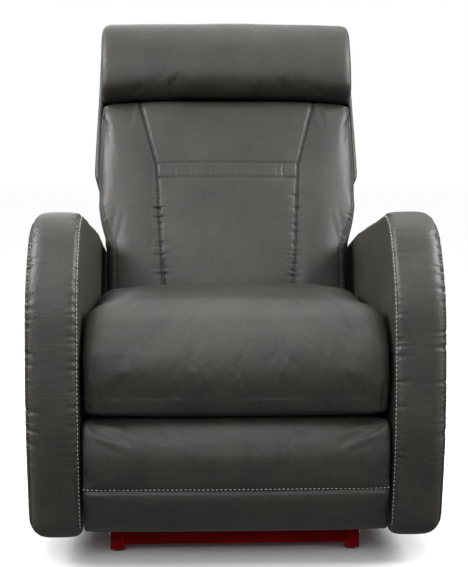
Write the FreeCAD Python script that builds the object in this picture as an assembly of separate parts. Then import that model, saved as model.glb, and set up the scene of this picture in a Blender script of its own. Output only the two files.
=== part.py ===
# Power rocking recliner, upright, in millimetres. The origin is on the floor under the middle of the chair,
# +X to the right of someone who faces the chair, +Y towards its back, +Z up.

import FreeCAD, Part
import math
import os
from FreeCAD import Vector

# Overall sizes
WIDTH = 780.0
DEPTH = 910.0
HEIGHT = 1083.0
FRONT_Y = -DEPTH / 2
REAR_Y = DEPTH / 2

# Clearances
RUN_GAP = 0.3                    # between faces that slide or turn on each other
SOFT_GAP = 3.0                   # between upholstered pieces that move past each other
HOLE_GAP = 0.2                   # round a bolt or a socket that stays put

# Arms
ARM_THICK = 100.0
ARM_BOTTOM_Z = 50.0
ARM_CREST_Z = 665.0              # where the front and top lines of the outline would meet
ARM_CREST_Y = FRONT_Y + 110
ARM_REAR_Y = REAR_Y - 100
ARM_REAR_TOP_Z = 545.0
ARM_OUTER_ROUND = 30.0
ARM_INNER_ROUND = 12.0
ARM_PANEL_THICK = 20.0
ARM_PANEL_INSET = 25.0           # from the inner face of the arm to its panel
ARM_PANEL_MARGIN = 45.0
ARM_POCKET_TOP_Z = 305.0
ARM_INNER_X = WIDTH / 2 - ARM_THICK
PANEL_X = ARM_INNER_X + ARM_PANEL_INSET

# Steel linkage: the plates lie in layers, counted outwards from the seat's side plates
PLATE_THICK = 4.0
LAYER_PITCH = PLATE_THICK + 2
SIDE_PLATE_X = ARM_INNER_X - 42
STUD_RADIUS = 5.0
STUD_END = 1.5                   # how far a stud stands past the last plate on it
LINK_HALF_WIDTH = 11.0
CONTROL_HALF_WIDTH = 9.0
DRIVE_PIVOT = (FRONT_Y + 150, 235.0)
DRIVE_LENGTH = 160.0
DRIVE_START = math.radians(10.0)
LIFT_LENGTH = 165.0
CONTROL_PIVOT = (FRONT_Y + 192.2, 264.6)
CONTROL_LENGTH = 190.9
CONTROL_START = math.radians(-104.75)
CONTROL_EAR = (20.8, 2.6)        # from the front link's lower pivot to the stud in the control link
REAR_LOW = (41.8, -6.5)          # from the control link's lower hole to the rear link's pivot
REAR_HIGH = (36.8, -2.4)         # from the front link's upper pivot to the rear link's
CONTROL_PLAY = 1.4               # spare radius of the open pivots
TUBE_RADIUS = 12.0

# Rocker base
GLIDE_HEIGHT = 6.0
GLIDE_RADIUS = 11.0
RUNNER_WIDTH = 27.0
RUNNER_X = SIDE_PLATE_X - 6 - RUNNER_WIDTH / 2
RUNNER_FRONT_Y = FRONT_Y + 120
RUNNER_REAR_Y = REAR_Y - 170
RUNNER_TOP_Z = 70.0
FOOT_LENGTH = 46.0
FOOT_RISE = 16.0
BASE_RAIL_THICK = 22.0
BASE_RAIL_HEIGHT = 46.0
BASE_RAIL_BOTTOM_Z = 16.0
BASE_RAIL_SETBACK = 4.0
WEAR_PLATE_THICK = 3.0
WEAR_TOP_Z = RUNNER_TOP_Z + WEAR_PLATE_THICK
BOLT_RADIUS = 4.0
BOLT_HEAD_RADIUS = 8.0
BOLT_HEAD_THICK = 3.0
BOLT_REACH = 30.0                # into the rail

# Rocking
ROCK_Y = 20.0
NOSE_RADIUS = 40.0
NOSE_FRONT_SLOPE = math.radians(6.2)
NOSE_REAR_SLOPE = math.radians(8.2)
ROCK_Z = WEAR_TOP_Z + RUN_GAP + NOSE_RADIUS
ROCK_RAIL_TOP_Z = 130.0
ROCK_SPRING_Y = 55.0             # each side of the rocking axis
ROCK_SPRING_RADIUS = 15.0
ROCK_SPRING_WIRE = 2.5
ROCK_SPRING_TURNS = 4
SPRING_BRACKET_WIDTH = 55.0      # inwards from the runner
SPRING_BRACKET_LENGTH = 190.0
SPRING_BRACKET_HEIGHT = 34.0

# Cross rails of the chair body
CROSS_THICK = 25.0
FRONT_CROSS_Y = FRONT_Y + 240
FRONT_CROSS_Z = 98.0
FRONT_CROSS_HEIGHT = 38.0
REAR_CROSS_Y = REAR_Y - 155
REAR_CROSS_Z = 118.0
REAR_CROSS_HEIGHT = 87.0
REAR_PANEL_THICK = 15.0
REAR_PANEL_TOP_Z = 380.0
INLET_X = ARM_INNER_X - 80
INLET_Z = 96.0
INLET_RADIUS = 14.0
INLET_FLANGE_RADIUS = 19.0
INLET_FLANGE_THICK = 3.0
INLET_BORE_RADIUS = 5.0
INLET_CONTACT_RADIUS = 1.2

# Back, in its own lines: distance behind the pivot, and height along the back
BACK_PIVOT = (REAR_Y - 280, 330.0)
BACK_LEAN = 17.0                 # degrees
BACK_TOP = (HEIGHT - BACK_PIVOT[1] - 14.0) / math.cos(math.radians(BACK_LEAN))
BACK_HALF_WIDTH = ARM_INNER_X + 10
BACK_LOW_HALF_WIDTH = ARM_INNER_X - 24
BACK_FLARE = 235.0
SHELL_FLARE = 313.0
SHELL_HALF_WIDTH = ARM_INNER_X + 39
SHELL_WALL = 14.0
HEADREST_BOTTOM = BACK_TOP - 205
POST_WIDTH = 25.0
POST_X = SIDE_PLATE_X + LAYER_PITCH - POST_WIDTH
POST_DEPTH = 40.0
POST_BOTTOM = 34.0
POST_TOP = BACK_TOP - 39
BACK_RAIL_HEIGHT = 40.0
BACK_RAIL_THICK = 22.0
BACK_MIDDLE_RAIL = 330.0
BACK_BRACKET_LENGTH = 210.0
BACK_BRACKET_HALF_WIDTH = 15.0
BACK_PAD_REAR = -POST_DEPTH / 2 - 4
BACK_PAD_BOTTOM = 22.0
BACK_PAD_EDGE = 26.0             # how far the sides of the back cushion fall behind its front
BACK_PAD_EDGE_ROUND = 24.0
BACK_PAD_CROWN_RADIUS = 500.0
CUSHION_LEAST_ROUND = 3.0
CHANNEL_WIDTH = 5.0
CHANNEL_DEPTH = 5.0
LUMBAR_HEIGHT = 396.0
RECLINE_STUD = (0.0, 40.0)       # from the back's pivot
RECLINE_PIVOT = (BACK_PIVOT[0] - 42.5, 196.0)

# Seat
SEAT_HALF_WIDTH = ARM_INNER_X - 6
SEAT_TOP_Z = 500.0
SEAT_BASE_Z = 345.0
SEAT_ROLL_BOTTOM_Z = 284.0
SEAT_ROLL_REAR_Y = FRONT_Y + 108
SEAT_REAR_Y = BACK_PIVOT[0] - 113
SEAT_RAIL_THICK = 24.0
SEAT_RAIL_X = SIDE_PLATE_X - SEAT_RAIL_THICK
SEAT_RAIL_HEIGHT = 40.0
SEAT_RAIL_FRONT_Y = FRONT_Y + 110
SEAT_RAIL_REAR_Y = BACK_PIVOT[0] - 120
SEAT_SPRING_PITCH = 80.0

# Leg rest
PAD_HALF_WIDTH = ARM_INNER_X - 4
PAD_REAR_Y = FRONT_Y + 80
PAD_TOP_Z = 279.0
PAD_BOTTOM_Z = 52.0
PAD_SEAM_Z = 150.0
BOARD_THICK = 15.0
BOARD_MARGIN = 14.0
BOARD_REAR_Y = PAD_REAR_Y + BOARD_THICK
BRACKET_WEB = 22.0
BRACKET_FLANGE = 30.0

# Leg rest drive
CRANK_RADIUS = 52.0
CRANK_START = math.radians(45.0)
CRANK_PIN_RADIUS = 5.0
CRANK_THICK = 6.0
CRANK_GAP = 3.0                  # between the yoke and the crank
YOKE_PLAY = 1.4
YOKE_OFFSET = 1.0                # the pin starts this far off the slot's middle
YOKE_HALF_LENGTH = 13.0
YOKE_CHEEK = 5.0
RAIL_HALF_WIDTH = 15.0
RAIL_TOP_Z = 160.0
RAIL_HEIGHT = 18.0
RAIL_FRONT_Y = BOARD_REAR_Y + 3
RAIL_TAB = 4.0
CROSS_TUBE_SIZE = 20.0
CROSS_TUBE_WALL = 2.0
CROSS_TUBE_Z = 255.0
CROSS_TUBE_YS = (FRONT_Y + 285, SEAT_RAIL_REAR_Y + 5)
RAIL_REAR_Y = CROSS_TUBE_YS[1] + 2
MOTOR_RADIUS = 26.0
GEARBOX_SIZE = (76.0, 66.0, 84.0)
MOTOR_LENGTH = 74.0

# Seat glide and recline
GLIDE_SLOPE = math.radians(10.0)
TRACK_MIDDLE = (-60.0, 190.0)
TRACK_LENGTH = 400.0
TRACK_HEIGHT = 34.0
TRACK_WALL = 4.0
TRACK_DEPTH = 18.0
BLOCK_OFFSETS = (-95.0, 110.0)   # along the track from its middle
BLOCK_LENGTH = 40.0
BLOCK_STUD_RADIUS = 6.0
ACTUATOR_X = 130.0
ACTUATOR_TUBE_RADIUS = 20.0
ACTUATOR_ROD_RADIUS = 10.0
ACTUATOR_ROD_LENGTH = 130.0
ACTUATOR_TUBE_START = 66.0       # along the rod from its tip

# Controls
SWITCH_Y = -120.0
SWITCH_Z = 455.0
SWITCH_SIZE = (46.0, 130.0)
SWITCH_PROUD = 2.0
SWITCH_DEPTH = 26.0
BUTTON_SIZE = (30.0, 22.0)
BUTTON_ROUND = 4.0
BUTTON_PITCH = 28.0
BUTTON_PROUD = 0.5
BUTTON_DEPTH = 12.0
BUTTON_TRAVEL = 2.5
BUTTON_NAMES = ("legrest_out_button", "legrest_in_button", "recline_button", "upright_button")
CONTROL_BOX_SIZE = (124.0, 34.0, 60.0)
CONTROL_BOX_X = -120.0

# Seat and back springs
SINUOUS_WIRE = 2.0
SINUOUS_BEND = 12.0
SINUOUS_SPAN = 40.0


# Shapes that the pieces share
def box(xs, ys, zs):
    size = [high - low for low, high in (xs, ys, zs)]
    return Part.makeBox(*size, Vector(xs[0], ys[0], zs[0]))


def rod(start, end, radius):
    along = end - start
    return Part.makeCylinder(radius, along.Length, start, along)


def cross_pin(y, z, x_from, x_to, radius):
    return rod(Vector(x_from, y, z), Vector(x_to, y, z), radius)


def side_view(y, z):
    return Vector(0, y, z)


def front_view(x, z):
    return Vector(x, 0, z)


def top_view(x, y):
    return Vector(x, y, 0)


def outline(corners, place):
    # Closed wire through corners (a, b, radius), each rounded by an arc of that radius
    edges = []
    ends = []
    count = len(corners)
    for index, (a, b, radius) in enumerate(corners):
        before = corners[index - 1]
        after = corners[(index + 1) % count]
        into = Vector(a - before[0], b - before[1], 0).normalize()
        out = Vector(after[0] - a, after[1] - b, 0).normalize()
        turn = into.getAngle(out)
        point = Vector(a, b, 0)
        if radius <= 0 or turn < 1e-6:
            ends.append((point, None, point))
            continue
        reach = radius * math.tan(turn / 2)
        inward = (out - into).normalize()
        middle = point + inward * (radius / math.cos(turn / 2) - radius)
        ends.append((point - into * reach, middle, point + out * reach))
    for index, (start, middle, end) in enumerate(ends):
        previous_end = ends[index - 1][2]
        if (start - previous_end).Length > 1e-4:
            line = Part.LineSegment(place(previous_end.x, previous_end.y), place(start.x, start.y))
            edges.append(line.toShape())
        if middle is not None:
            arc = Part.Arc(place(start.x, start.y), place(middle.x, middle.y), place(end.x, end.y))
            edges.append(arc.toShape())
    return Part.Wire(edges)


def slab_x(corners, x_from, x_to):
    # Side outline carried from x_from to x_to
    face = Part.Face(outline(corners, side_view))
    face.translate(Vector(x_from, 0, 0))
    return face.extrude(Vector(x_to - x_from, 0, 0))


def slab_y(corners, y_from, y_to):
    # Front outline carried from y_from to y_to
    face = Part.Face(outline(corners, front_view))
    face.translate(Vector(0, y_from, 0))
    return face.extrude(Vector(0, y_to - y_from, 0))


def crossed(side_corners, front_corners):
    # Solid with one outline from the side and another from the front
    side = slab_x(side_corners, -WIDTH, WIDTH)
    return side.common(slab_y(front_corners, -DEPTH, DEPTH))


def drawn_in(corners, amount):
    # Side outline with each corner (y, z, radius, pull) moved along its pull
    moved = []
    for y, z, radius, (pull_y, pull_z) in corners:
        less_round = max(radius - amount / 2, min(radius, CUSHION_LEAST_ROUND))
        moved.append((y + pull_y * amount, z + pull_z * amount, less_round))
    return moved


def cushion(corners, half, crown, end_round):
    # Loft along X whose outline falls away by the crown, and is drawn in round its ends
    flat = half - end_round
    stations = [(share * flat, crown * (share * flat / half) ** 2) for share in (0, 0.4, 0.75, 1)]
    for share in (0.35, 0.65, 0.86, 0.97):
        x = flat + share * end_round
        stations.append((x, crown * (x / half) ** 2 + end_round * (1 - math.sqrt(1 - share ** 2))))
    stations = [(-x, amount) for x, amount in reversed(stations[1:])] + stations
    wires = []
    for x, amount in stations:
        wire = outline(drawn_in(corners, amount), side_view)
        wire.translate(Vector(x, 0, 0))
        wires.append(wire)
    return Part.makeLoft(wires, True, True)


def edges_at_x(shape, x):
    return [edge for edge in shape.Edges if all(abs(v.X - x) < 1e-6 for v in edge.Vertexes)]


def both_halves(corners):
    # Right half of a front outline, from the bottom up, with its mirror image
    return list(corners) + [(-x, z, radius) for x, z, radius in reversed(corners)]


def mirrored(shape):
    return shape.mirror(Vector(0, 0, 0), Vector(1, 0, 0))


def pair(shape):
    return [shape, mirrored(shape)]


def layer(number):
    # Inner and outer face of a linkage layer, where layer 0 is the side plate
    low = SIDE_PLATE_X + number * LAYER_PITCH
    return low, low + PLATE_THICK


def joined(shapes):
    return shapes[0].multiFuse(shapes[1:]).removeSplitter()


def flat_bar(points, x, thick, half_width):
    # Flat link through points, with round ends
    pieces = [cross_pin(y, z, x, x + thick, half_width) for y, z in points]
    for (y0, z0), (y1, z1) in zip(points, points[1:]):
        along = Vector(0, y1 - y0, z1 - z0)
        across = Vector(0, -along.z, along.y).normalize() * half_width
        base = Vector(x, y0, z0)
        ring = [base + across, base + along + across, base + along - across, base - across, base + across]
        pieces.append(Part.Face(Part.makePolygon(ring)).extrude(Vector(thick, 0, 0)))
    return joined(pieces)


def bar(points, number, half_width=LINK_HALF_WIDTH):
    return flat_bar(points, layer(number)[0], PLATE_THICK, half_width)


def drilled(shape, points, radius):
    return shape.cut([cross_pin(y, z, -WIDTH, WIDTH, radius) for y, z in points])


def stud(point, layer_from, layer_to):
    # Stud welded in one layer, that stands through another
    y, z = point
    return cross_pin(y, z, layer(layer_from)[0], layer(layer_to)[1] + STUD_END, STUD_RADIUS)


def turned(vector, angle):
    # (y, z) turned about -X, so that a part in front of the pivot rises
    y, z = vector
    return (y * math.cos(angle) + z * math.sin(angle), -y * math.sin(angle) + z * math.cos(angle))


def shifted(point, vector):
    return (point[0] + vector[0], point[1] + vector[1])


def leaned(shape):
    # Puts a piece drawn upright on the back's pivot at the back's lean
    shape.rotate(Vector(0, 0, 0), Vector(1, 0, 0), -BACK_LEAN)
    shape.translate(Vector(0, *BACK_PIVOT))
    return shape


def on_slope(shape, point):
    # Puts a piece drawn along Y at a point, on the slope of the seat's glide
    shape.rotate(Vector(0, 0, 0), Vector(1, 0, 0), -math.degrees(GLIDE_SLOPE))
    shape.translate(Vector(0, *point))
    return shape


def along_glide(distance):
    return (distance * math.cos(GLIDE_SLOPE), -distance * math.sin(GLIDE_SLOPE))


def sinuous(start_y, end_y):
    # Flat zigzag spring wire that fills the room between two rails
    step = 2 * SINUOUS_BEND
    room = end_y - start_y - 2 * SINUOUS_WIRE
    count = int(room // step) + 1
    first_y = start_y + SINUOUS_WIRE + HOLE_GAP
    stretch = (room - 2 * HOLE_GAP) / (count - 1)
    edges = []
    for index in range(count):
        side = 1 if index % 2 else -1
        y = first_y + index * stretch
        low = Vector(-side * SINUOUS_SPAN / 2, y, 0)
        high = Vector(side * SINUOUS_SPAN / 2, y, 0)
        edges.append(Part.LineSegment(low, high).toShape())
        if index < count - 1:
            top = Vector(high.x + side * stretch / 2, y + stretch / 2, 0)
            edges.append(Part.Arc(high, top, Vector(high.x, y + stretch, 0)).toShape())
    ring = Part.Wire(Part.makeCircle(SINUOUS_WIRE, edges[0].Vertexes[0].Point, Vector(1, 0, 0)))
    return Part.Wire(edges).makePipeShell([ring], True, False)


def coil(radius, wire, turns, height):
    # Round spring from biarcs of a quarter turn, standing on the origin
    rise = (height - 2 * wire) / (4 * turns)
    points = []
    for index in range(8 * turns + 1):
        angle = index * math.pi / 4
        points.append(Vector(radius * math.cos(angle), radius * math.sin(angle), wire + index * rise / 2))
    edges = [
        Part.Arc(points[i], points[i + 1], points[i + 2]).toShape() for i in range(0, len(points) - 2, 2)
    ]
    ring = Part.Wire(Part.makeCircle(wire, points[0], Vector(0, 1, 0)))
    return Part.Wire(edges).makePipeShell([ring], True, False)


def save(name, *solids):
    shape = solids[0] if len(solids) == 1 else Part.makeCompound(list(solids))
    sound = [solid.isValid() and solid.Volume > 0 for solid in shape.Solids]
    if len(sound) != len(solids) or not all(sound):
        raise ValueError(f"{name}: a solid is missing or not sound")
    shape.exportStep(f"parts/{name}.step")


def save_sides(name, shape):
    save(f"{name}_right", shape)
    save(f"{name}_left", mirrored(shape))


# Base on the floor
def make_base():
    inner_x = RUNNER_X - RUNNER_WIDTH / 2
    outer_x = RUNNER_X + RUNNER_WIDTH / 2
    foot_slope = 14.0
    rise_z = GLIDE_HEIGHT + FOOT_RISE
    runner = slab_x(
        [
            (RUNNER_FRONT_Y, GLIDE_HEIGHT, 3),
            (RUNNER_FRONT_Y, RUNNER_TOP_Z, 6),
            (RUNNER_REAR_Y, RUNNER_TOP_Z, 6),
            (RUNNER_REAR_Y, GLIDE_HEIGHT, 3),
            (RUNNER_REAR_Y - FOOT_LENGTH, GLIDE_HEIGHT, 8),
            (RUNNER_REAR_Y - FOOT_LENGTH - foot_slope, rise_z, 12),
            (RUNNER_FRONT_Y + FOOT_LENGTH + foot_slope, rise_z, 12),
            (RUNNER_FRONT_Y + FOOT_LENGTH, GLIDE_HEIGHT, 8),
        ],
        inner_x,
        outer_x,
    )
    rail_zs = (BASE_RAIL_BOTTOM_Z, BASE_RAIL_BOTTOM_Z + BASE_RAIL_HEIGHT)
    front_y = RUNNER_FRONT_Y + BASE_RAIL_SETBACK
    rear_y = RUNNER_REAR_Y - BASE_RAIL_SETBACK - BASE_RAIL_THICK
    bolt_z = sum(rail_zs) / 2
    bolts = []
    holes = []
    for y in (front_y, rear_y):
        middle_y = y + BASE_RAIL_THICK / 2
        shank = cross_pin(middle_y, bolt_z, inner_x - BOLT_REACH, outer_x, BOLT_RADIUS)
        head = cross_pin(middle_y, bolt_z, outer_x, outer_x + BOLT_HEAD_THICK, BOLT_HEAD_RADIUS)
        bolts += pair(joined([shank, head]))
        hole = cross_pin(middle_y, bolt_z, inner_x - BOLT_REACH - 1, outer_x + 1, BOLT_RADIUS + HOLE_GAP)
        holes += pair(hole)
    save_sides("base_runner", runner.cut(holes))
    for name, y in (("base_front_rail", front_y), ("base_rear_rail", rear_y)):
        rail = box((-inner_x, inner_x), (y, y + BASE_RAIL_THICK), rail_zs)
        save(name, rail.cut(holes))
    save("base_bolts", *bolts)
    glides = []
    for y in (RUNNER_FRONT_Y + FOOT_LENGTH / 2, RUNNER_REAR_Y - FOOT_LENGTH / 2):
        glides += pair(Part.makeCylinder(GLIDE_RADIUS, GLIDE_HEIGHT, Vector(RUNNER_X, y, 0)))
    save("base_glides", *glides)
    plate_xs = (inner_x - SPRING_BRACKET_WIDTH, outer_x)
    save("rocker_plates", *pair(box(plate_xs, spring_bracket_ys(), (RUNNER_TOP_Z, WEAR_TOP_Z))))
    height = ROCK_RAIL_TOP_Z - PLATE_THICK - WEAR_TOP_Z - 2 * RUN_GAP
    spring = coil(ROCK_SPRING_RADIUS, ROCK_SPRING_WIRE, ROCK_SPRING_TURNS, height)
    springs = []
    for y in (ROCK_Y - ROCK_SPRING_Y, ROCK_Y + ROCK_SPRING_Y):
        standing = spring.copy()
        standing.translate(Vector(inner_x - SPRING_BRACKET_WIDTH / 2, y, WEAR_TOP_Z + RUN_GAP))
        springs += pair(standing)
    save("rocker_springs", *springs)


def spring_bracket_ys():
    return (ROCK_Y - SPRING_BRACKET_LENGTH / 2, ROCK_Y + SPRING_BRACKET_LENGTH / 2)


# Wooden rockers under the chair body
def make_rockers():
    inner_x = RUNNER_X - RUNNER_WIDTH / 2
    outer_x = RUNNER_X + RUNNER_WIDTH / 2
    front_y = FRONT_CROSS_Y + CROSS_THICK
    nose_z = ROCK_Z - NOSE_RADIUS
    # How far from the middle of the nose each slope would meet its lowest line
    front_touch = NOSE_RADIUS * math.tan(NOSE_FRONT_SLOPE / 2)
    rear_touch = NOSE_RADIUS * math.tan(NOSE_REAR_SLOPE / 2)
    front_z = nose_z + (ROCK_Y - front_touch - front_y) * math.tan(NOSE_FRONT_SLOPE)
    rear_z = nose_z + (REAR_CROSS_Y - ROCK_Y - rear_touch) * math.tan(NOSE_REAR_SLOPE)
    rocker = slab_x(
        [
            (front_y, ROCK_RAIL_TOP_Z, 0),
            (front_y, front_z, 0),
            (ROCK_Y - front_touch, nose_z, NOSE_RADIUS),
            (ROCK_Y + rear_touch, nose_z, NOSE_RADIUS),
            (REAR_CROSS_Y, rear_z, 0),
            (REAR_CROSS_Y, ROCK_RAIL_TOP_Z, 0),
        ],
        inner_x,
        outer_x,
    )
    save_sides("rocker_rail", rocker)
    flange_zs = (ROCK_RAIL_TOP_Z - PLATE_THICK, ROCK_RAIL_TOP_Z)
    flange = box((inner_x - SPRING_BRACKET_WIDTH, inner_x), spring_bracket_ys(), flange_zs)
    web_zs = (ROCK_RAIL_TOP_Z - SPRING_BRACKET_HEIGHT, ROCK_RAIL_TOP_Z)
    web = box((inner_x - PLATE_THICK, inner_x), spring_bracket_ys(), web_zs)
    save("rocker_spring_brackets", *pair(joined([flange, web])))


# Arms: a wooden panel inside a padded cover
def arm_corners(inset):
    corners = [
        (FRONT_Y + 35 + inset, ARM_BOTTOM_Z + inset, 48),
        (FRONT_Y - 6.5 + inset, 280, 700),
        (FRONT_Y + 15 + inset, 520 - inset / 3, 260),
        (ARM_CREST_Y + inset / 2, ARM_CREST_Z - inset, 110),
        (ARM_REAR_Y - inset, ARM_REAR_TOP_Z - inset, 52),
        (ARM_REAR_Y - inset, ARM_BOTTOM_Z + inset, 48),
    ]
    return [(y, z, radius - inset) for y, z, radius in corners]


def make_arms():
    outer_x = WIDTH / 2
    cover = slab_x(arm_corners(0), ARM_INNER_X, outer_x)
    cover = cover.makeFillet(ARM_OUTER_ROUND, edges_at_x(cover, outer_x))
    cover = cover.makeFillet(ARM_INNER_ROUND, edges_at_x(cover, ARM_INNER_X))
    panel = slab_x(arm_corners(ARM_PANEL_MARGIN), PANEL_X, PANEL_X + ARM_PANEL_THICK)
    room = slab_x(arm_corners(ARM_PANEL_MARGIN - RUN_GAP), PANEL_X, PANEL_X + ARM_PANEL_THICK + RUN_GAP)
    # The inner side is open low down, where the rails and tracks meet the panel
    pocket_ys = (CONTROL_PIVOT[0] - 30, ARM_REAR_Y - ARM_PANEL_MARGIN + CROSS_THICK)
    pocket = box((ARM_INNER_X - 20, PANEL_X), pocket_ys, (0, ARM_POCKET_TOP_Z))
    cover = cover.cut([room, pocket])
    save_sides("arm_frame", panel)
    save("arm_cover_right", cover)
    # The left arm also holds the switch panel on its outer side
    width, height = SWITCH_SIZE
    recess = box(
        (-outer_x - 1, -outer_x + SWITCH_DEPTH),
        (SWITCH_Y - width / 2 - HOLE_GAP, SWITCH_Y + width / 2 + HOLE_GAP),
        (SWITCH_Z - height / 2 - HOLE_GAP, SWITCH_Z + height / 2 + HOLE_GAP),
    )
    save("arm_cover_left", mirrored(cover).cut(recess))


def make_cross_rails():
    front_ys = (FRONT_CROSS_Y, FRONT_CROSS_Y + CROSS_THICK)
    front_zs = (FRONT_CROSS_Z, FRONT_CROSS_Z + FRONT_CROSS_HEIGHT)
    save("front_cross_rail", box((-PANEL_X, PANEL_X), front_ys, front_zs))
    rear_ys = (REAR_CROSS_Y, REAR_CROSS_Y + CROSS_THICK)
    rear_zs = (REAR_CROSS_Z, REAR_CROSS_Z + REAR_CROSS_HEIGHT)
    save("rear_cross_rail", box((-PANEL_X, PANEL_X), rear_ys, rear_zs))
    box_width, box_depth, box_height = CONTROL_BOX_SIZE
    middle_z = sum(rear_zs) / 2
    low_z, high_z = middle_z - box_height / 2, middle_z + box_height / 2
    control_face = both_halves([(box_width / 2, low_z, 6), (box_width / 2, high_z, 6)])
    control = slab_y(control_face, REAR_CROSS_Y - box_depth, REAR_CROSS_Y)
    control.translate(Vector(CONTROL_BOX_X, 0, 0))
    save("control_box", control)


# Covered panel below the back, with a low-voltage socket for the power supply
def make_rear_panel():
    inner_y = REAR_CROSS_Y + CROSS_THICK
    outer_y = inner_y + REAR_PANEL_THICK
    half = ARM_INNER_X - SOFT_GAP
    panel_face = both_halves([(half, ARM_BOTTOM_Z + 4, 14), (half, REAR_PANEL_TOP_Z, 14)])
    panel = slab_y(panel_face, inner_y, outer_y)

    def at(y):
        return Vector(INLET_X, y, INLET_Z)

    save("rear_panel", panel.cut(rod(at(inner_y - 1), at(outer_y + 1), INLET_RADIUS + HOLE_GAP)))
    body = rod(at(inner_y), at(outer_y), INLET_RADIUS)
    flange = rod(at(outer_y), at(outer_y + INLET_FLANGE_THICK), INLET_FLANGE_RADIUS)
    bore = rod(at(inner_y + 4), at(outer_y + INLET_FLANGE_THICK + 1), INLET_BORE_RADIUS)
    contact = rod(at(inner_y + 3), at(outer_y), INLET_CONTACT_RADIUS)
    save("power_inlet", joined([joined([body, flange]).cut(bore), contact]))


# Seat glide tracks, and the plates that hold the recline links
def groove_zs():
    half = TRACK_HEIGHT / 2 - TRACK_WALL
    return (-half, half)


def make_tracks():
    half_height = TRACK_HEIGHT / 2
    half_length = TRACK_LENGTH / 2
    channel = box((PANEL_X - TRACK_DEPTH, PANEL_X), (-half_length, half_length), (-half_height, half_height))
    groove_xs = (PANEL_X - TRACK_DEPTH - 1, PANEL_X - TRACK_WALL)
    groove = box(groove_xs, (-TRACK_LENGTH, TRACK_LENGTH), groove_zs())
    save("glide_tracks", *pair(on_slope(channel.cut(groove), TRACK_MIDDLE)))
    link_x = layer(5)[0]
    plate_x = layer(6)[0]
    y, z = RECLINE_PIVOT
    plate = box((plate_x, plate_x + PLATE_THICK), (y - 22, y + 60), (z - 34, z + 22))
    spacer = cross_pin(y + 40, z - 12, plate_x, PANEL_X, 14)
    pin = cross_pin(y, z, link_x - STUD_END, plate_x + PLATE_THICK, STUD_RADIUS)
    save("recline_brackets", *pair(joined([plate, spacer, pin])))


# Recline actuator: the motor and tube stay on the chair body, the rod moves with the seat
def make_recline_actuator():
    tube_face_y = CROSS_TUBE_YS[1] + CROSS_TUBE_SIZE / 2
    tip_y = tube_face_y + 8
    tip_z = CROSS_TUBE_Z + CROSS_TUBE_SIZE / 2
    tail = (REAR_CROSS_Y - tip_y) / math.cos(GLIDE_SLOPE)

    def at(distance):
        y, z = shifted((tip_y, tip_z), along_glide(distance))
        return Vector(ACTUATOR_X, y, z)

    tube = rod(at(ACTUATOR_TUBE_START), at(tail + 20), ACTUATOR_TUBE_RADIUS)
    half_width = 34.0
    gearbox = box(
        (ACTUATOR_X - half_width, ACTUATOR_X + half_width),
        (REAR_CROSS_Y - 70, REAR_CROSS_Y),
        (tip_z - 104, tip_z - 14),
    )
    motor_start = ACTUATOR_X - half_width
    motor = cross_pin(REAR_CROSS_Y - 36, tip_z - 74, motor_start, motor_start - MOTOR_LENGTH, MOTOR_RADIUS)
    behind = box((-WIDTH, WIDTH), (REAR_CROSS_Y, DEPTH), (0, HEIGHT))
    housing = joined([tube, gearbox, motor]).cut(behind)
    bore_end = ACTUATOR_ROD_LENGTH + 20
    bore = rod(at(ACTUATOR_TUBE_START - 5), at(bore_end), ACTUATOR_ROD_RADIUS + RUN_GAP)
    save("recline_motor", housing.cut(bore))
    shaft = rod(at(0), at(ACTUATOR_ROD_LENGTH), ACTUATOR_ROD_RADIUS)
    clevis_xs = (ACTUATOR_X - 16, ACTUATOR_X + 16)
    clevis = box(clevis_xs, (tube_face_y, tube_face_y + 22), (CROSS_TUBE_Z - 5, CROSS_TUBE_Z + 23))
    save("recline_rod", joined([shaft, clevis]))


# Switch panel on the outside of the left arm
def make_switch():
    outer_x = -WIDTH / 2
    width, height = SWITCH_SIZE
    panel_xs = (outer_x - SWITCH_PROUD, outer_x + SWITCH_DEPTH)
    panel_ys = (SWITCH_Y - width / 2, SWITCH_Y + width / 2)
    panel = box(panel_xs, panel_ys, (SWITCH_Z - height / 2, SWITCH_Z + height / 2))
    panel = panel.makeFillet(SWITCH_PROUD / 2, edges_at_x(panel, panel_xs[0]))
    button_width, button_height = BUTTON_SIZE
    front_x = panel_xs[0] - BUTTON_PROUD
    first_z = SWITCH_Z - BUTTON_PITCH * (len(BUTTON_NAMES) - 1) / 2
    for index, name in enumerate(BUTTON_NAMES):
        z = first_z + BUTTON_PITCH * index
        save(name, rounded_block(front_x, BUTTON_DEPTH, (SWITCH_Y, z), *BUTTON_SIZE, BUTTON_ROUND))
        well_size = (button_width + 2 * RUN_GAP, button_height + 2 * RUN_GAP)
        well_depth = BUTTON_DEPTH + BUTTON_TRAVEL + RUN_GAP
        panel = panel.cut(rounded_block(front_x, well_depth, (SWITCH_Y, z), *well_size, BUTTON_ROUND))
    save("switch_panel", panel)


def rounded_block(x, depth, middle, width, height, radius):
    y, z = middle
    corners = [
        (y - width / 2, z - height / 2, radius),
        (y - width / 2, z + height / 2, radius),
        (y + width / 2, z + height / 2, radius),
        (y + width / 2, z - height / 2, radius),
    ]
    return slab_x(corners, x, x + depth)


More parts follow.
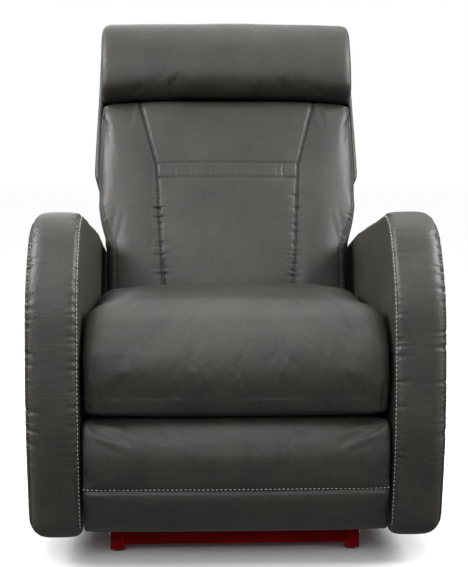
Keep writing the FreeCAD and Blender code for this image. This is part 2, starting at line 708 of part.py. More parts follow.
# Seat: wooden frame, springs, side plates and the cushion
def make_seat_frame():
    rail_zs = (SEAT_BASE_Z - SEAT_RAIL_HEIGHT, SEAT_BASE_Z)
    side_xs = (SEAT_RAIL_X, SEAT_RAIL_X + SEAT_RAIL_THICK)
    side = box(side_xs, (SEAT_RAIL_FRONT_Y, SEAT_RAIL_REAR_Y), rail_zs)
    save("seat_side_rails", *pair(side))
    inner_front_y = SEAT_RAIL_FRONT_Y + SEAT_RAIL_THICK
    inner_rear_y = SEAT_RAIL_REAR_Y - SEAT_RAIL_THICK
    between = (-SEAT_RAIL_X, SEAT_RAIL_X)
    front = box(between, (SEAT_RAIL_FRONT_Y, inner_front_y), rail_zs)
    rear = box(between, (inner_rear_y, SEAT_RAIL_REAR_Y), rail_zs)
    save("seat_cross_rails", front, rear)
    lift = SEAT_BASE_Z - SINUOUS_WIRE
    springs = []
    for number in range(-2, 3):
        spring = sinuous(inner_front_y, inner_rear_y)
        spring.translate(Vector(number * SEAT_SPRING_PITCH, 0, lift - RUN_GAP))
        springs.append(spring)
    save("seat_springs", *springs)


def make_seat_cushion():
    still = (0, 0)
    corners = [
        (SEAT_REAR_Y, SEAT_BASE_Z, 8, still),
        (SEAT_REAR_Y + 43, SEAT_TOP_Z - 12, 35, (0, -1)),
        (FRONT_Y + 65, SEAT_TOP_Z - 2, 85, (0.3, -1)),
        (FRONT_Y - 1, 420, 70, (0.8, -0.5)),
        (FRONT_Y - 1, 335, 75, (0.8, 0)),
        (FRONT_Y + 30, SEAT_ROLL_BOTTOM_Z, 42, (0.5, 0.3)),
        (SEAT_ROLL_REAR_Y, SEAT_ROLL_BOTTOM_Z, 12, (0, 0.3)),
        (SEAT_ROLL_REAR_Y, SEAT_BASE_Z, 0, still),
    ]
    save("seat_cushion", cushion(corners, SEAT_HALF_WIDTH, 10, 50))


def make_side_plates():
    low, high = layer(0)
    pivot_y, pivot_z = BACK_PIVOT
    plate = slab_x(
        [
            (DRIVE_PIVOT[0] - 25, DRIVE_PIVOT[1] - 23, 12),
            (DRIVE_PIVOT[0] - 25, SEAT_BASE_Z - 13, 10),
            (pivot_y - 70, SEAT_BASE_Z - 13, 20),
            (pivot_y - 20, pivot_z + 20, 16),
            (pivot_y + 18, pivot_z + 20, 16),
            (pivot_y + 18, pivot_z - 20, 16),
            (pivot_y - 103, 148, 14),
            (DRIVE_PIVOT[0] + 120, 178, 20),
        ],
        low,
        high,
    )
    plate = drilled(plate, [DRIVE_PIVOT], TUBE_RADIUS + RUN_GAP)
    studs = [stud(CONTROL_PIVOT, 0, 4), stud(BACK_PIVOT, 0, 1)]
    block_zs = (groove_zs()[0] + RUN_GAP, groove_zs()[1] - RUN_GAP)
    block_xs = (PANEL_X - TRACK_DEPTH + 1, PANEL_X - TRACK_WALL - RUN_GAP)
    stud_end = block_xs[1] - 3
    blocks = []
    for offset in BLOCK_OFFSETS:
        y, z = shifted(TRACK_MIDDLE, along_glide(offset))
        studs.append(cross_pin(y, z, low, stud_end, BLOCK_STUD_RADIUS))
        block = box(block_xs, (-BLOCK_LENGTH / 2, BLOCK_LENGTH / 2), block_zs)
        hole = cross_pin(0, 0, block_xs[0] - 1, stud_end + HOLE_GAP, BLOCK_STUD_RADIUS + HOLE_GAP)
        blocks += pair(on_slope(block.cut(hole), (y, z)))
    save_sides("side_plate", joined([plate] + studs))
    save("glide_blocks", *blocks)
    tubes = []
    half = CROSS_TUBE_SIZE / 2
    bore_half = half - CROSS_TUBE_WALL
    for y in CROSS_TUBE_YS:
        zs = (CROSS_TUBE_Z, CROSS_TUBE_Z + CROSS_TUBE_SIZE)
        outer = box((-low, low), (y - half, y + half), zs)
        bore_zs = (zs[0] + CROSS_TUBE_WALL, zs[1] - CROSS_TUBE_WALL)
        tubes.append(outer.cut(box((-WIDTH, WIDTH), (y - bore_half, y + bore_half), bore_zs)))
    save("cross_tubes", *tubes)


# Leg rest drive: motor, rail and yoke, and the tube that carries the crank
def make_legrest_drive():
    rail_zs = (RAIL_TOP_Z - RAIL_HEIGHT, RAIL_TOP_Z)
    rail_xs = (-RAIL_HALF_WIDTH, RAIL_HALF_WIDTH)
    pieces = [box(rail_xs, (RAIL_FRONT_Y, RAIL_REAR_Y), rail_zs)]
    for y in CROSS_TUBE_YS:
        hanger_y = min(y, RAIL_REAR_Y - RAIL_TAB / 2)
        hanger_ys = (hanger_y - RAIL_TAB / 2, hanger_y + RAIL_TAB / 2)
        pieces.append(box(rail_xs, hanger_ys, (RAIL_TOP_Z - 1, CROSS_TUBE_Z)))
    save("actuator_rail", joined(pieces))
    box_width, box_length, box_height = GEARBOX_SIZE
    half = box_width / 2
    low_z = RAIL_TOP_Z - box_height / 2
    gear_face = both_halves([(half, low_z, 10), (half, low_z + box_height, 10)])
    gearbox = slab_y(gear_face, RAIL_REAR_Y, RAIL_REAR_Y + box_length)
    motor = cross_pin(RAIL_REAR_Y + box_length / 2, RAIL_TOP_Z, -half + 1, -half - MOTOR_LENGTH, MOTOR_RADIUS)
    save("legrest_motor", joined([gearbox, motor]))

    pin_y, pin_z = shifted(DRIVE_PIVOT, turned((0, -CRANK_RADIUS), -CRANK_START))
    yoke_y = pin_y + YOKE_OFFSET
    yoke_top = pin_z + 14
    cheek_x = RAIL_HALF_WIDTH + RUN_GAP + YOKE_CHEEK
    yoke_ys = (yoke_y - YOKE_HALF_LENGTH, yoke_y + YOKE_HALF_LENGTH)
    block = box((-cheek_x, cheek_x), yoke_ys, (rail_zs[0] + 2, yoke_top))
    rail_room_x = RAIL_HALF_WIDTH + RUN_GAP
    rail_room = box((-rail_room_x, rail_room_x), (FRONT_Y, REAR_Y), (0, RAIL_TOP_Z + RUN_GAP))
    slot_half = CRANK_PIN_RADIUS + YOKE_PLAY
    slot_low = DRIVE_PIVOT[1] - CRANK_RADIUS - CRANK_PIN_RADIUS - 1
    slot = box((-WIDTH, WIDTH), (yoke_y - slot_half, yoke_y + slot_half), (slot_low, yoke_top + 1))
    save("actuator_yoke", block.cut([rail_room, slot]))

    crank_x = cheek_x + CRANK_GAP
    crank = joined([
        flat_bar([DRIVE_PIVOT, (pin_y, pin_z)], crank_x, CRANK_THICK, LINK_HALF_WIDTH),
        cross_pin(*DRIVE_PIVOT, crank_x, crank_x + CRANK_THICK, TUBE_RADIUS + 6),
    ])
    pin_end = crank_x + CRANK_THICK
    pin = cross_pin(pin_y, pin_z, -pin_end, pin_end, CRANK_PIN_RADIUS)
    end_x = layer(1)[0]
    tube = cross_pin(*DRIVE_PIVOT, -end_x, end_x, TUBE_RADIUS)
    save("torque_tube", joined([tube, crank, mirrored(crank), pin]))


# Leg rest linkage, drawn on the right side and mirrored
def make_legrest_links():
    front_low = shifted(DRIVE_PIVOT, turned((0, -DRIVE_LENGTH), DRIVE_START))
    front_high = shifted(front_low, (0, LIFT_LENGTH))
    ear = shifted(front_low, CONTROL_EAR)
    control_reach = (CONTROL_LENGTH * math.cos(CONTROL_START), CONTROL_LENGTH * math.sin(CONTROL_START))
    control_end = shifted(CONTROL_PIVOT, control_reach)
    rear_low = shifted(control_end, REAR_LOW)
    rear_high = shifted(front_high, REAR_HIGH)
    hole = STUD_RADIUS + RUN_GAP
    open_hole = hole + CONTROL_PLAY

    save_sides("drive_link", joined([bar([DRIVE_PIVOT, front_low], 1), stud(front_low, 1, 2)]))
    front = joined([bar([front_low, front_high], 2), bar([front_low, ear], 2, CONTROL_HALF_WIDTH)])
    front = drilled(front, [front_low, front_high], hole)
    save_sides("front_link", joined([front, stud(ear, 2, 4)]))
    control = bar([CONTROL_PIVOT, control_end, rear_low, CONTROL_PIVOT], 4, CONTROL_HALF_WIDTH)
    control = drilled(drilled(control, [CONTROL_PIVOT], hole), [control_end], open_hole)
    save("control_links", *pair(joined([control, stud(rear_low, 4, 5)])))
    rear = bar([rear_low, rear_high], 5, CONTROL_HALF_WIDTH)
    save_sides("rear_link", drilled(drilled(rear, [rear_low], hole), [rear_high], open_hole))

    low, high = layer(3)
    foot = (BOARD_REAR_Y + BRACKET_WEB / 2, front_high[1] - 60)
    arm = bar([rear_high, front_high, foot], 3)
    bracket_low = PAD_BOTTOM_Z + 60
    web_ys = (BOARD_REAR_Y, BOARD_REAR_Y + BRACKET_WEB)
    web = box((low, high), web_ys, (bracket_low, PAD_TOP_Z - 40))
    flange_ys = (BOARD_REAR_Y, BOARD_REAR_Y + PLATE_THICK)
    flange = box((low - BRACKET_FLANGE, high), flange_ys, (bracket_low, PAD_TOP_Z - 60))
    front_pin = cross_pin(*front_high, layer(2)[0] - STUD_END / 2, high, STUD_RADIUS)
    save_sides("legrest_bracket", joined([arm, web, flange, front_pin, stud(rear_high, 3, 5)]))


def make_legrest_pad():
    corners = [
        (PAD_REAR_Y, PAD_BOTTOM_Z, 8, (0, 0.5)),
        (PAD_REAR_Y, PAD_TOP_Z - 8, 12, (0, -0.8)),
        (FRONT_Y + 23, PAD_TOP_Z + 1, 30, (0.4, -0.8)),
        (FRONT_Y + 4, 225, 80, (1, 0)),
        (FRONT_Y + 13, PAD_SEAM_Z, 0, (1, 0)),
        (FRONT_Y + 10, PAD_SEAM_Z - 12, 8, (1, 0)),
        (FRONT_Y + 28, PAD_BOTTOM_Z, 24, (0.6, 0.5)),
    ]
    half = PAD_HALF_WIDTH
    save("legrest_pad", cushion(corners, half, 6, 24))
    board_half = half - BOARD_MARGIN
    board_top = PAD_TOP_Z - 8 - BOARD_MARGIN
    board_face = both_halves([(board_half, PAD_BOTTOM_Z + BOARD_MARGIN, 15), (board_half, board_top, 15)])
    save("legrest_board", slab_y(board_face, PAD_REAR_Y, BOARD_REAR_Y))


# Back, drawn upright on its pivot and then leaned
def make_back_frame():
    half_depth = POST_DEPTH / 2
    post = box((POST_X, POST_X + POST_WIDTH), (-half_depth, half_depth), (POST_BOTTOM, POST_TOP))
    save("back_posts", *[leaned(shape) for shape in pair(post)])
    half_thick = BACK_RAIL_THICK / 2
    low_rail = POST_BOTTOM + 6
    rails = []
    for low in (low_rail, BACK_MIDDLE_RAIL, POST_TOP - BACK_RAIL_HEIGHT):
        rail = box((-POST_X, POST_X), (-half_thick, half_thick), (low, low + BACK_RAIL_HEIGHT))
        rails.append(leaned(rail))
    save("back_rails", *rails)
    springs = []
    for number in range(-1, 2):
        spring = sinuous(low_rail + BACK_RAIL_HEIGHT, BACK_MIDDLE_RAIL)
        spring.rotate(Vector(0, 0, 0), Vector(1, 0, 0), 90)
        spring.translate(Vector(number * 120, 0, 0))
        springs.append(leaned(spring))
    save("back_springs", *springs)
    lean = math.radians(BACK_LEAN)
    upper = shifted(BACK_PIVOT, (BACK_BRACKET_LENGTH * math.sin(lean), BACK_BRACKET_LENGTH * math.cos(lean)))
    stud_point = shifted(BACK_PIVOT, RECLINE_STUD)
    bracket = bar([BACK_PIVOT, upper], 1, BACK_BRACKET_HALF_WIDTH)
    bracket = drilled(bracket, [BACK_PIVOT], STUD_RADIUS + RUN_GAP)
    save("back_brackets", *pair(joined([bracket, stud(stud_point, 1, 5)])))
    link = bar([RECLINE_PIVOT, stud_point], 5)
    hole = STUD_RADIUS + RUN_GAP + HOLE_GAP
    save("recline_links", *pair(drilled(link, [RECLINE_PIVOT, stud_point], hole)))


def shell_outline(bottom, top, low_half, half):
    return both_halves(
        [
            (low_half, bottom, 18),
            (low_half, SHELL_FLARE, 60),
            (half, SHELL_FLARE + 85, 60),
            (half - 4, top, 22),
        ]
    )


def back_section(height, half, front_y):
    # Level outline of the back cushion, with a crowned front
    corners = [
        (half, BACK_PAD_REAR, 4),
        (half, front_y + BACK_PAD_EDGE, BACK_PAD_EDGE_ROUND),
        (0.6 * half, front_y, BACK_PAD_CROWN_RADIUS),
    ]
    wire = outline(both_halves(corners), top_view)
    wire.translate(Vector(0, 0, height))
    return wire


def make_back_cushion():
    bottom = BACK_PAD_BOTTOM
    top = HEADREST_BOTTOM - SOFT_GAP
    low, high = BACK_LOW_HALF_WIDTH, BACK_HALF_WIDTH
    sections = [
        (bottom, low - 12, -90),
        (bottom + 8, low - 5, -100),
        (bottom + 30, low, -107),
        (bottom + 110, low, -114),
        (BACK_FLARE - 20, low, -115),
        (BACK_FLARE + 15, low + 12, -113),
        (BACK_FLARE + 50, high - 8, -111),
        (BACK_FLARE + 85, high, -109),
        (LUMBAR_HEIGHT + 40, high, -104),
        (top - 25, high - 3, -97),
        (top - 6, high - 6, -91),
        (top, high - 12, -82),
    ]
    padding = Part.makeLoft([back_section(*section) for section in sections], True, True)
    # The sewn lines are cut to an even depth below the face
    core = padding.copy()
    core.translate(Vector(0, CHANNEL_DEPTH, 0))
    over_top = (BACK_HALF_WIDTH - 94, top + 10)
    at_lumbar = (BACK_HALF_WIDTH - 130, LUMBAR_HEIGHT)
    under = (BACK_HALF_WIDTH - 140, 0)
    runs = [(over_top, at_lumbar), (at_lumbar, under)]
    runs += [((-x0, z0), (-x1, z1)) for (x0, z0), (x1, z1) in runs]
    runs.append(((-at_lumbar[0], LUMBAR_HEIGHT), at_lumbar))
    for (x0, z0), (x1, z1) in runs:
        along = Vector(x1 - x0, 0, z1 - z0)
        across = Vector(-along.z, 0, along.x).normalize() * (CHANNEL_WIDTH / 2)
        base = Vector(x0, -BACK_HALF_WIDTH, z0)
        ring = [base + across, base + along + across, base + along - across, base - across, base + across]
        strip = Part.Face(Part.makePolygon(ring)).extrude(Vector(0, BACK_HALF_WIDTH + BACK_PAD_REAR, 0))
        padding = padding.cut(strip.cut(core))
    save("back_cushion", leaned(padding))


def make_headrest():
    over_frame = POST_TOP + 4
    still = (0, 0)
    corners = [
        (BACK_PAD_REAR, HEADREST_BOTTOM, 6, (0, 0.3)),
        (-114, HEADREST_BOTTOM, 45, (0.7, 0.5)),
        (-137, HEADREST_BOTTOM + 95, 150, (1, 0)),
        (-106, BACK_TOP - 14, 70, (0.6, -0.6)),
        (-20, BACK_TOP + 3, 50, (0, -0.6)),
        (22, BACK_TOP - 10, 20, (0, -0.4)),
        (22, over_frame, 4, still),
        (BACK_PAD_REAR, over_frame, 4, still),
    ]
    save("headrest_cushion", leaned(cushion(corners, BACK_HALF_WIDTH - 2, 8, 36)))


def make_outer_back():
    front = -POST_DEPTH / 2 - 3
    over_frame = POST_TOP + 3
    profile = [
        (front, 20, 4),
        (46, -36, 22),
        (90, 110, 250),
        (104, 380, 500),
        (92, 630, 250),
        (66, BACK_TOP, 32),
        (24, BACK_TOP, 5),
        (24, over_frame, 0),
        (front, over_frame, 4),
    ]
    hollow_profile = [
        (front - 30, 20 + SHELL_WALL, 0),
        (34, -36 + SHELL_WALL + 8, 12),
        (90 - SHELL_WALL, 110, 240),
        (104 - SHELL_WALL, 380, 490),
        (92 - SHELL_WALL, 630, 240),
        (76 - SHELL_WALL, POST_TOP, 10),
        (front - 30, POST_TOP, 0),
    ]
    low_half = BACK_LOW_HALF_WIDTH + 2
    shell = crossed(profile, shell_outline(-60, BACK_TOP + 4, low_half, SHELL_HALF_WIDTH))
    hollow_face = shell_outline(-90, BACK_TOP, POST_X + POST_WIDTH, SHELL_HALF_WIDTH - SHELL_WALL)
    shell = shell.cut(crossed(hollow_profile, hollow_face))
    # The low corners leave room for the hinge plates and the recline links' studs
    hinge_x = SIDE_PLATE_X - 8
    side_x = POST_X + POST_WIDTH - SOFT_GAP
    low_room = box((hinge_x, WIDTH), (-POST_DEPTH, 40), (-100, POST_BOTTOM))
    high_room = box((side_x, ARM_INNER_X), (-POST_DEPTH, 22), (0, BACK_BRACKET_LENGTH + 20))
    save("outer_back", leaned(shell.cut(pair(low_room) + pair(high_room))))


def main():
    os.makedirs("parts", exist_ok=True)
    make_base()
    make_rockers()
    make_arms()
    make_cross_rails()
    make_rear_panel()
    make_tracks()
    make_recline_actuator()
    make_switch()
    make_seat_frame()
    make_seat_cushion()
    make_side_plates()
    make_legrest_drive()
    make_legrest_links()
    make_legrest_pad()
    make_back_frame()
    make_back_cushion()
    make_headrest()
    make_outer_back()


main()
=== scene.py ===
# Leather, wood and steel of a power rocking recliner, built around its fixed frame
import math
import random

import bmesh
import bpy
import numpy as np
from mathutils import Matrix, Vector, kdtree
from mathutils.bvhtree import BVHTree


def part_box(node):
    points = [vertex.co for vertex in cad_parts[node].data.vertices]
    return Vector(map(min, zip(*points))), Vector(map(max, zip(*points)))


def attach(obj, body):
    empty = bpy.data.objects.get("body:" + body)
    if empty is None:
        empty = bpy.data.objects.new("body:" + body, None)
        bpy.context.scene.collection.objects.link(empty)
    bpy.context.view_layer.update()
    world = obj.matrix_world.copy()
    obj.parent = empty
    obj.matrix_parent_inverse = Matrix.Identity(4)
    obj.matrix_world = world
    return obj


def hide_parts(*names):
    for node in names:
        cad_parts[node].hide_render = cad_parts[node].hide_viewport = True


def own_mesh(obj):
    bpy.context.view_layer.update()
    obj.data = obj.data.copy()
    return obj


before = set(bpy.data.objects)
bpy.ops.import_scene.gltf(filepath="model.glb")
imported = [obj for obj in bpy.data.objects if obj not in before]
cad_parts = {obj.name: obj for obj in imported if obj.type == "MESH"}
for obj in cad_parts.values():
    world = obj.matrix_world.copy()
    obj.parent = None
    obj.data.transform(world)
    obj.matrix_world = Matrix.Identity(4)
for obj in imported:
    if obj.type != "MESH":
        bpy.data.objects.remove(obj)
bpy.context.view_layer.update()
scene = bpy.context.scene
scene.view_settings.view_transform = "Standard"


class Sock:  # a shader socket that can be written in sums
    def __init__(self, tree, socket):
        self.tree = tree
        self.socket = socket

    def node(self, kind, settings, inputs, out=0):
        made = self.tree.nodes.new(kind)
        for key, value in settings.items():
            if key == "stops":
                marks = made.color_ramp.elements
                while len(marks) < len(value):
                    marks.new(0.5)
                for mark, (spot, shade) in zip(marks, value):
                    mark.position = spot
                    mark.color = shade
            else:
                setattr(made, key, value)
        for key, value in inputs.items():
            if isinstance(value, Sock):
                self.tree.links.new(value.socket, made.inputs[key])
            else:
                made.inputs[key].default_value = value
        return Sock(self.tree, made.outputs[out])

    def sum(self, operation, first, second):
        return self.node("ShaderNodeMath", {"operation": operation}, {0: first, 1: second})

    def __add__(self, other):
        return self.sum("ADD", self, other)

    def __radd__(self, other):
        return self.sum("ADD", other, self)

    def __sub__(self, other):
        return self.sum("SUBTRACT", self, other)

    def __rsub__(self, other):
        return self.sum("SUBTRACT", other, self)

    def __mul__(self, other):
        return self.sum("MULTIPLY", self, other)

    def __rmul__(self, other):
        return self.sum("MULTIPLY", other, self)

    def noise(self, out=0, **inputs):
        return self.node("ShaderNodeTexNoise", {}, dict(inputs, Vector=self), out)

    def between(self, low, high):
        return self.node("ShaderNodeMix", {"data_type": "RGBA"}, {0: self, 6: low, 7: high}, 2)

    def wire(self, shader, name):
        self.tree.links.new(self.socket, shader.inputs[name])

    def bumped(self, shader, strength, distance):
        self.node("ShaderNodeBump", {},
                  {"Height": self, "Strength": strength, "Distance": distance}).wire(shader, "Normal")


def newFinish(name):
    finish = bpy.data.materials.new(name)
    finish.use_nodes = True
    tree = finish.node_tree
    place = Sock(tree, tree.nodes.new("ShaderNodeTexCoord").outputs["Object"])
    return finish, tree.nodes["Principled BSDF"], place


leather = {
    "dark": (0.0156, 0.0148, 0.0122, 1), "light": (0.0505, 0.0476, 0.0386, 1),
    "pebbles": 430.0, "pebbleEdge": 0.22, "creases": 95.0, "mottle": 9.0,
    "drift": 160.0, "driftBy": 0.004, "toneLow": 0.30, "toneHigh": 0.71,
    "rough": 0.41, "shine": 0.62, "bump": 0.55, "height": 0.00035,
}


def leatherFinish(name, values):
    finish, shader, place = newFinish(name)
    drift = place.noise(out=1, Scale=values["drift"], Detail=2.0)
    bent = place.node("ShaderNodeVectorMath", {"operation": "SCALE"}, {0: drift, "Scale": values["driftBy"]})
    spot = place.node("ShaderNodeVectorMath", {"operation": "ADD"}, {0: place, 1: bent})
    cell = place.node("ShaderNodeTexVoronoi", {"feature": "DISTANCE_TO_EDGE"},
                      {"Vector": spot, "Scale": values["pebbles"]})
    pebble = place.node("ShaderNodeMapRange", {"interpolation_type": "SMOOTHSTEP"},
                        {"Value": cell, "From Min": 0.0, "From Max": values["pebbleEdge"]})
    crease = spot.noise(Scale=values["creases"], Detail=5.0, Roughness=0.6)
    mottle = place.noise(Scale=values["mottle"], Detail=4.0, Roughness=0.55)
    tone = 0.5 * mottle + 0.3 * crease + 0.2 * pebble
    shade = place.node("ShaderNodeMapRange", {},
                       {"Value": tone, "From Min": values["toneLow"], "From Max": values["toneHigh"]})
    shade.between(values["dark"], values["light"]).wire(shader, "Base Color")
    (values["rough"] + 0.12 * crease - 0.06 * pebble).wire(shader, "Roughness")
    (0.7 * pebble + 0.6 * crease).bumped(shader, values["bump"], values["height"])
    shader.inputs["Specular IOR Level"].default_value = values["shine"]
    return finish


woods = {
    "cherry": {"along": 4, "across": 60, "rough": 0.45, "shine": 0.04,
               "stops": [(0.25, (0.036, 0.0006, 0.0008, 1)), (0.48, (0.140, 0.0011, 0.0015, 1)),
                         (0.62, (0.225, 0.0018, 0.0022, 1)), (0.80, (0.320, 0.0042, 0.0042, 1))]},
    # near-black frame wood: partly the dark wrap such frames have, partly painted shade so the gaps and
    # pockets it shows through read as shadow
    "dark": {"along": 4, "across": 60, "rough": 0.55, "shine": 0.3,
             "stops": [(0.25, (0.008, 0.006, 0.005, 1)), (0.50, (0.016, 0.012, 0.010, 1)),
                       (0.78, (0.026, 0.020, 0.016, 1))]},
    "pale": {"along": 4, "across": 55, "rough": 0.55, "shine": 0.3,
             "stops": [(0.25, (0.29, 0.19, 0.105, 1)), (0.50, (0.45, 0.32, 0.19, 1)),
                       (0.78, (0.58, 0.44, 0.28, 1))]},
}


def woodFinish(name, wood, axis):  # the grain runs along the axis
    values = woods[wood]
    finish, shader, place = newFinish(name)
    stretch = [values["across"]] * 3
    stretch[axis] = values["along"]
    fibres = place.node("ShaderNodeMapping", {}, {"Vector": place, "Scale": stretch})
    figure = fibres.noise(Scale=1.0, Detail=6.0, Roughness=0.6, Distortion=0.9)
    pores = fibres.noise(Scale=7.0, Detail=3.0, Roughness=0.7)
    mix = 0.75 * figure + 0.25 * pores
    place.node("ShaderNodeValToRGB", {"stops": values["stops"]}, {"Fac": mix}).wire(shader, "Base Color")
    (values["rough"] + 0.2 * pores).wire(shader, "Roughness")
    mix.bumped(shader, 0.35, 0.0006)
    shader.inputs["Specular IOR Level"].default_value = values["shine"]
    return finish


def hardFinish(name, dark, light, rough, metal, scale, height):
    finish, shader, place = newFinish(name)
    cloud = place.noise(Scale=scale * 0.08, Detail=5.0, Roughness=0.6)
    speck = place.noise(Scale=scale, Detail=3.0)
    (0.6 * cloud + 0.4 * speck).between(dark, light).wire(shader, "Base Color")
    (rough + 0.25 * cloud - 0.1).wire(shader, "Roughness")
    speck.bumped(shader, 0.4, height)
    shader.inputs["Metallic"].default_value = metal
    return finish


def threadFinish(name, dark, light):
    finish, shader, place = newFinish(name)
    twist = place.node("ShaderNodeTexWave", {"bands_direction": "DIAGONAL"},
                       {"Vector": place, "Scale": 900.0, "Distortion": 2.0})
    fluff = place.noise(Scale=700.0)
    (0.6 * twist + 0.4 * fluff).between(dark, light).wire(shader, "Base Color")
    (0.6 + 0.2 * fluff).wire(shader, "Roughness")
    return finish


greyLeather = leatherFinish("greyLeather", leather)
cherryAcross = woodFinish("cherryAcross", "cherry", 0)
cherryLong = woodFinish("cherryLong", "cherry", 1)
darkAcross = woodFinish("darkAcross", "dark", 0)
darkLong = woodFinish("darkLong", "dark", 1)
darkUpright = woodFinish("darkUpright", "dark", 2)
paleAcross = woodFinish("paleAcross", "pale", 0)
paleLong = woodFinish("paleLong", "pale", 1)
blackSteel = hardFinish("blackSteel", (0.010, 0.010, 0.011, 1), (0.022, 0.022, 0.023, 1),
                        rough=0.42, metal=0.35, scale=900, height=0.0002)
springSteel = hardFinish("springSteel", (0.14, 0.135, 0.125, 1), (0.26, 0.25, 0.235, 1),
                         rough=0.36, metal=0.95, scale=600, height=0.0001)
brightSteel = hardFinish("brightSteel", (0.50, 0.50, 0.50, 1), (0.66, 0.66, 0.65, 1),
                         rough=0.20, metal=1.0, scale=700, height=0.00005)
blackPlastic = hardFinish("blackPlastic", (0.011, 0.011, 0.012, 1), (0.019, 0.019, 0.020, 1),
                          rough=0.46, metal=0.0, scale=1500, height=0.00015)
buttonPlastic = hardFinish("buttonPlastic", (0.055, 0.056, 0.058, 1), (0.080, 0.081, 0.083, 1),
                           rough=0.40, metal=0.0, scale=1400, height=0.0001)
markPaint = hardFinish("markPaint", (0.62, 0.62, 0.61, 1), (0.76, 0.76, 0.74, 1),
                       rough=0.50, metal=0.0, scale=1200, height=0.00005)
paleThread = threadFinish("paleThread", (0.36, 0.36, 0.34, 1), (0.60, 0.60, 0.575, 1))
darkThread = threadFinish("darkThread", (0.0035, 0.0035, 0.0035, 1), (0.008, 0.008, 0.0078, 1))
print("finishes: done")

nodeFinish = {
    "base_front_rail": cherryAcross, "base_rear_rail": cherryAcross,
    "base_runner_left": cherryLong, "base_runner_right": cherryLong,
    "rocker_rail_left": paleLong, "rocker_rail_right": paleLong,
    # the parts in darkAcross, darkLong and darkUpright carry painted shade where they show through the arm
    # pockets and the seat's front slit, as well as the dark wrap such frames have
    "arm_frame_left": darkLong, "arm_frame_right": darkLong, "seat_side_rails": paleLong,
    "front_cross_rail": darkAcross, "rear_cross_rail": darkAcross, "seat_cross_rails": darkAcross,
    "back_rails": paleAcross, "legrest_board": darkAcross, "back_posts": darkUpright,
    "rocker_springs": springSteel, "seat_springs": springSteel, "back_springs": springSteel,
    "base_bolts": brightSteel, "recline_rod": brightSteel, "rocker_plates": springSteel,
    "base_glides": blackPlastic, "glide_blocks": blackPlastic, "recline_motor": blackPlastic,
    "legrest_motor": blackPlastic, "control_box": blackPlastic, "power_inlet": blackPlastic,
    "switch_panel": blackPlastic,
    "legrest_out_button": buttonPlastic, "legrest_in_button": buttonPlastic,
    "recline_button": buttonPlastic, "upright_button": buttonPlastic,
}
for nodeName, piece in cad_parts.items():
    wanted = nodeFinish.get(nodeName, blackSteel)
    if not piece.material_slots:
        piece.data.materials.append(wanted)
    for holder in piece.material_slots:
        holder.material = wanted
print("frame finishes: done")


def addPiece(name, mesh):
    piece = bpy.data.objects.new(name, mesh)
    scene.collection.objects.link(piece)
    return piece


def meshOf(name, points, faces, edges=()):
    mesh = bpy.data.meshes.new(name)
    mesh.from_pydata([tuple(p) for p in points], list(edges), faces)
    return mesh


def applied(piece, kind, **settings):
    step = piece.modifiers.new(kind.lower(), kind)
    for key, value in settings.items():
        setattr(step, key, value)
    graph = bpy.context.evaluated_depsgraph_get()
    made = bpy.data.meshes.new_from_object(piece.evaluated_get(graph))
    piece.modifiers.remove(step)
    old = piece.data
    piece.data = made
    bpy.data.meshes.remove(old)


def pointsOf(piece):
    flat = np.empty(len(piece.data.vertices) * 3)
    piece.data.vertices.foreach_get("co", flat)
    return flat.reshape(-1, 3)


def normalsOf(piece):
    flat = np.empty(len(piece.data.vertices) * 3)
    piece.data.vertex_normals.foreach_get("vector", flat)
    return flat.reshape(-1, 3)


def setPoints(piece, points):
    piece.data.vertices.foreach_set("co", points.ravel())
    piece.data.update()


def shifted(piece, amount):  # moves every point along its normal
    setPoints(piece, pointsOf(piece) + normalsOf(piece) * np.reshape(amount, (-1, 1)))


def evened(piece, cell, rounds):  # an even closed skin over whatever the piece was
    applied(piece, "REMESH", mode="VOXEL", voxel_size=cell, use_smooth_shade=True)
    applied(piece, "SMOOTH", factor=0.5, iterations=rounds)


def mergedCopy(name, node):
    shape = bmesh.new()
    shape.from_mesh(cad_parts[node].data)
    bmesh.ops.remove_doubles(shape, verts=shape.verts, dist=0.00002)
    mesh = bpy.data.meshes.new(name)
    shape.to_mesh(mesh)
    shape.free()
    return addPiece(name, mesh)


def softCopy(name, node, cell, rounds):
    piece = mergedCopy(name, node)
    evened(piece, cell, rounds)
    return piece


puff = {"stretch": 12.0, "shear": 0.4, "bend": 0.6, "pressure": 4.0, "mass": 0.3, "quality": 5, "frames": 20}


def puffed(piece, held, cap):  # fills the cover with air, held points stay and none moves past the cap
    start = pointsOf(piece)
    group = piece.vertex_groups.new(name="held")
    group.add([int(i) for i in np.nonzero(held)[0]], 1.0, "REPLACE")
    step = piece.modifiers.new("puff", "CLOTH")
    cover = step.settings
    cover.quality = puff["quality"]
    cover.mass = puff["mass"]
    cover.tension_stiffness = puff["stretch"]
    cover.compression_stiffness = puff["stretch"]
    cover.shear_stiffness = puff["stretch"] * puff["shear"]
    cover.bending_stiffness = puff["bend"]
    cover.use_pressure = True
    cover.uniform_pressure_force = puff["pressure"]
    cover.vertex_group_mass = "held"
    cover.effector_weights.gravity = 0
    step.point_cache.frame_start = 1
    step.point_cache.frame_end = puff["frames"]
    for count in range(1, puff["frames"] + 1):
        scene.frame_set(count)
    graph = bpy.context.evaluated_depsgraph_get()
    blown = bpy.data.meshes.new_from_object(piece.evaluated_get(graph))
    flat = np.empty(len(blown.vertices) * 3)
    blown.vertices.foreach_get("co", flat)
    bpy.data.meshes.remove(blown)
    piece.modifiers.remove(step)
    piece.vertex_groups.clear()
    scene.frame_set(1)
    moved = flat.reshape(-1, 3) - start
    far = np.maximum(np.linalg.norm(moved, axis=1, keepdims=True), 1e-9)
    setPoints(piece, start + moved / far * (cap * np.tanh(far / cap)))
    applied(piece, "SUBSURF", levels=1, render_levels=1)


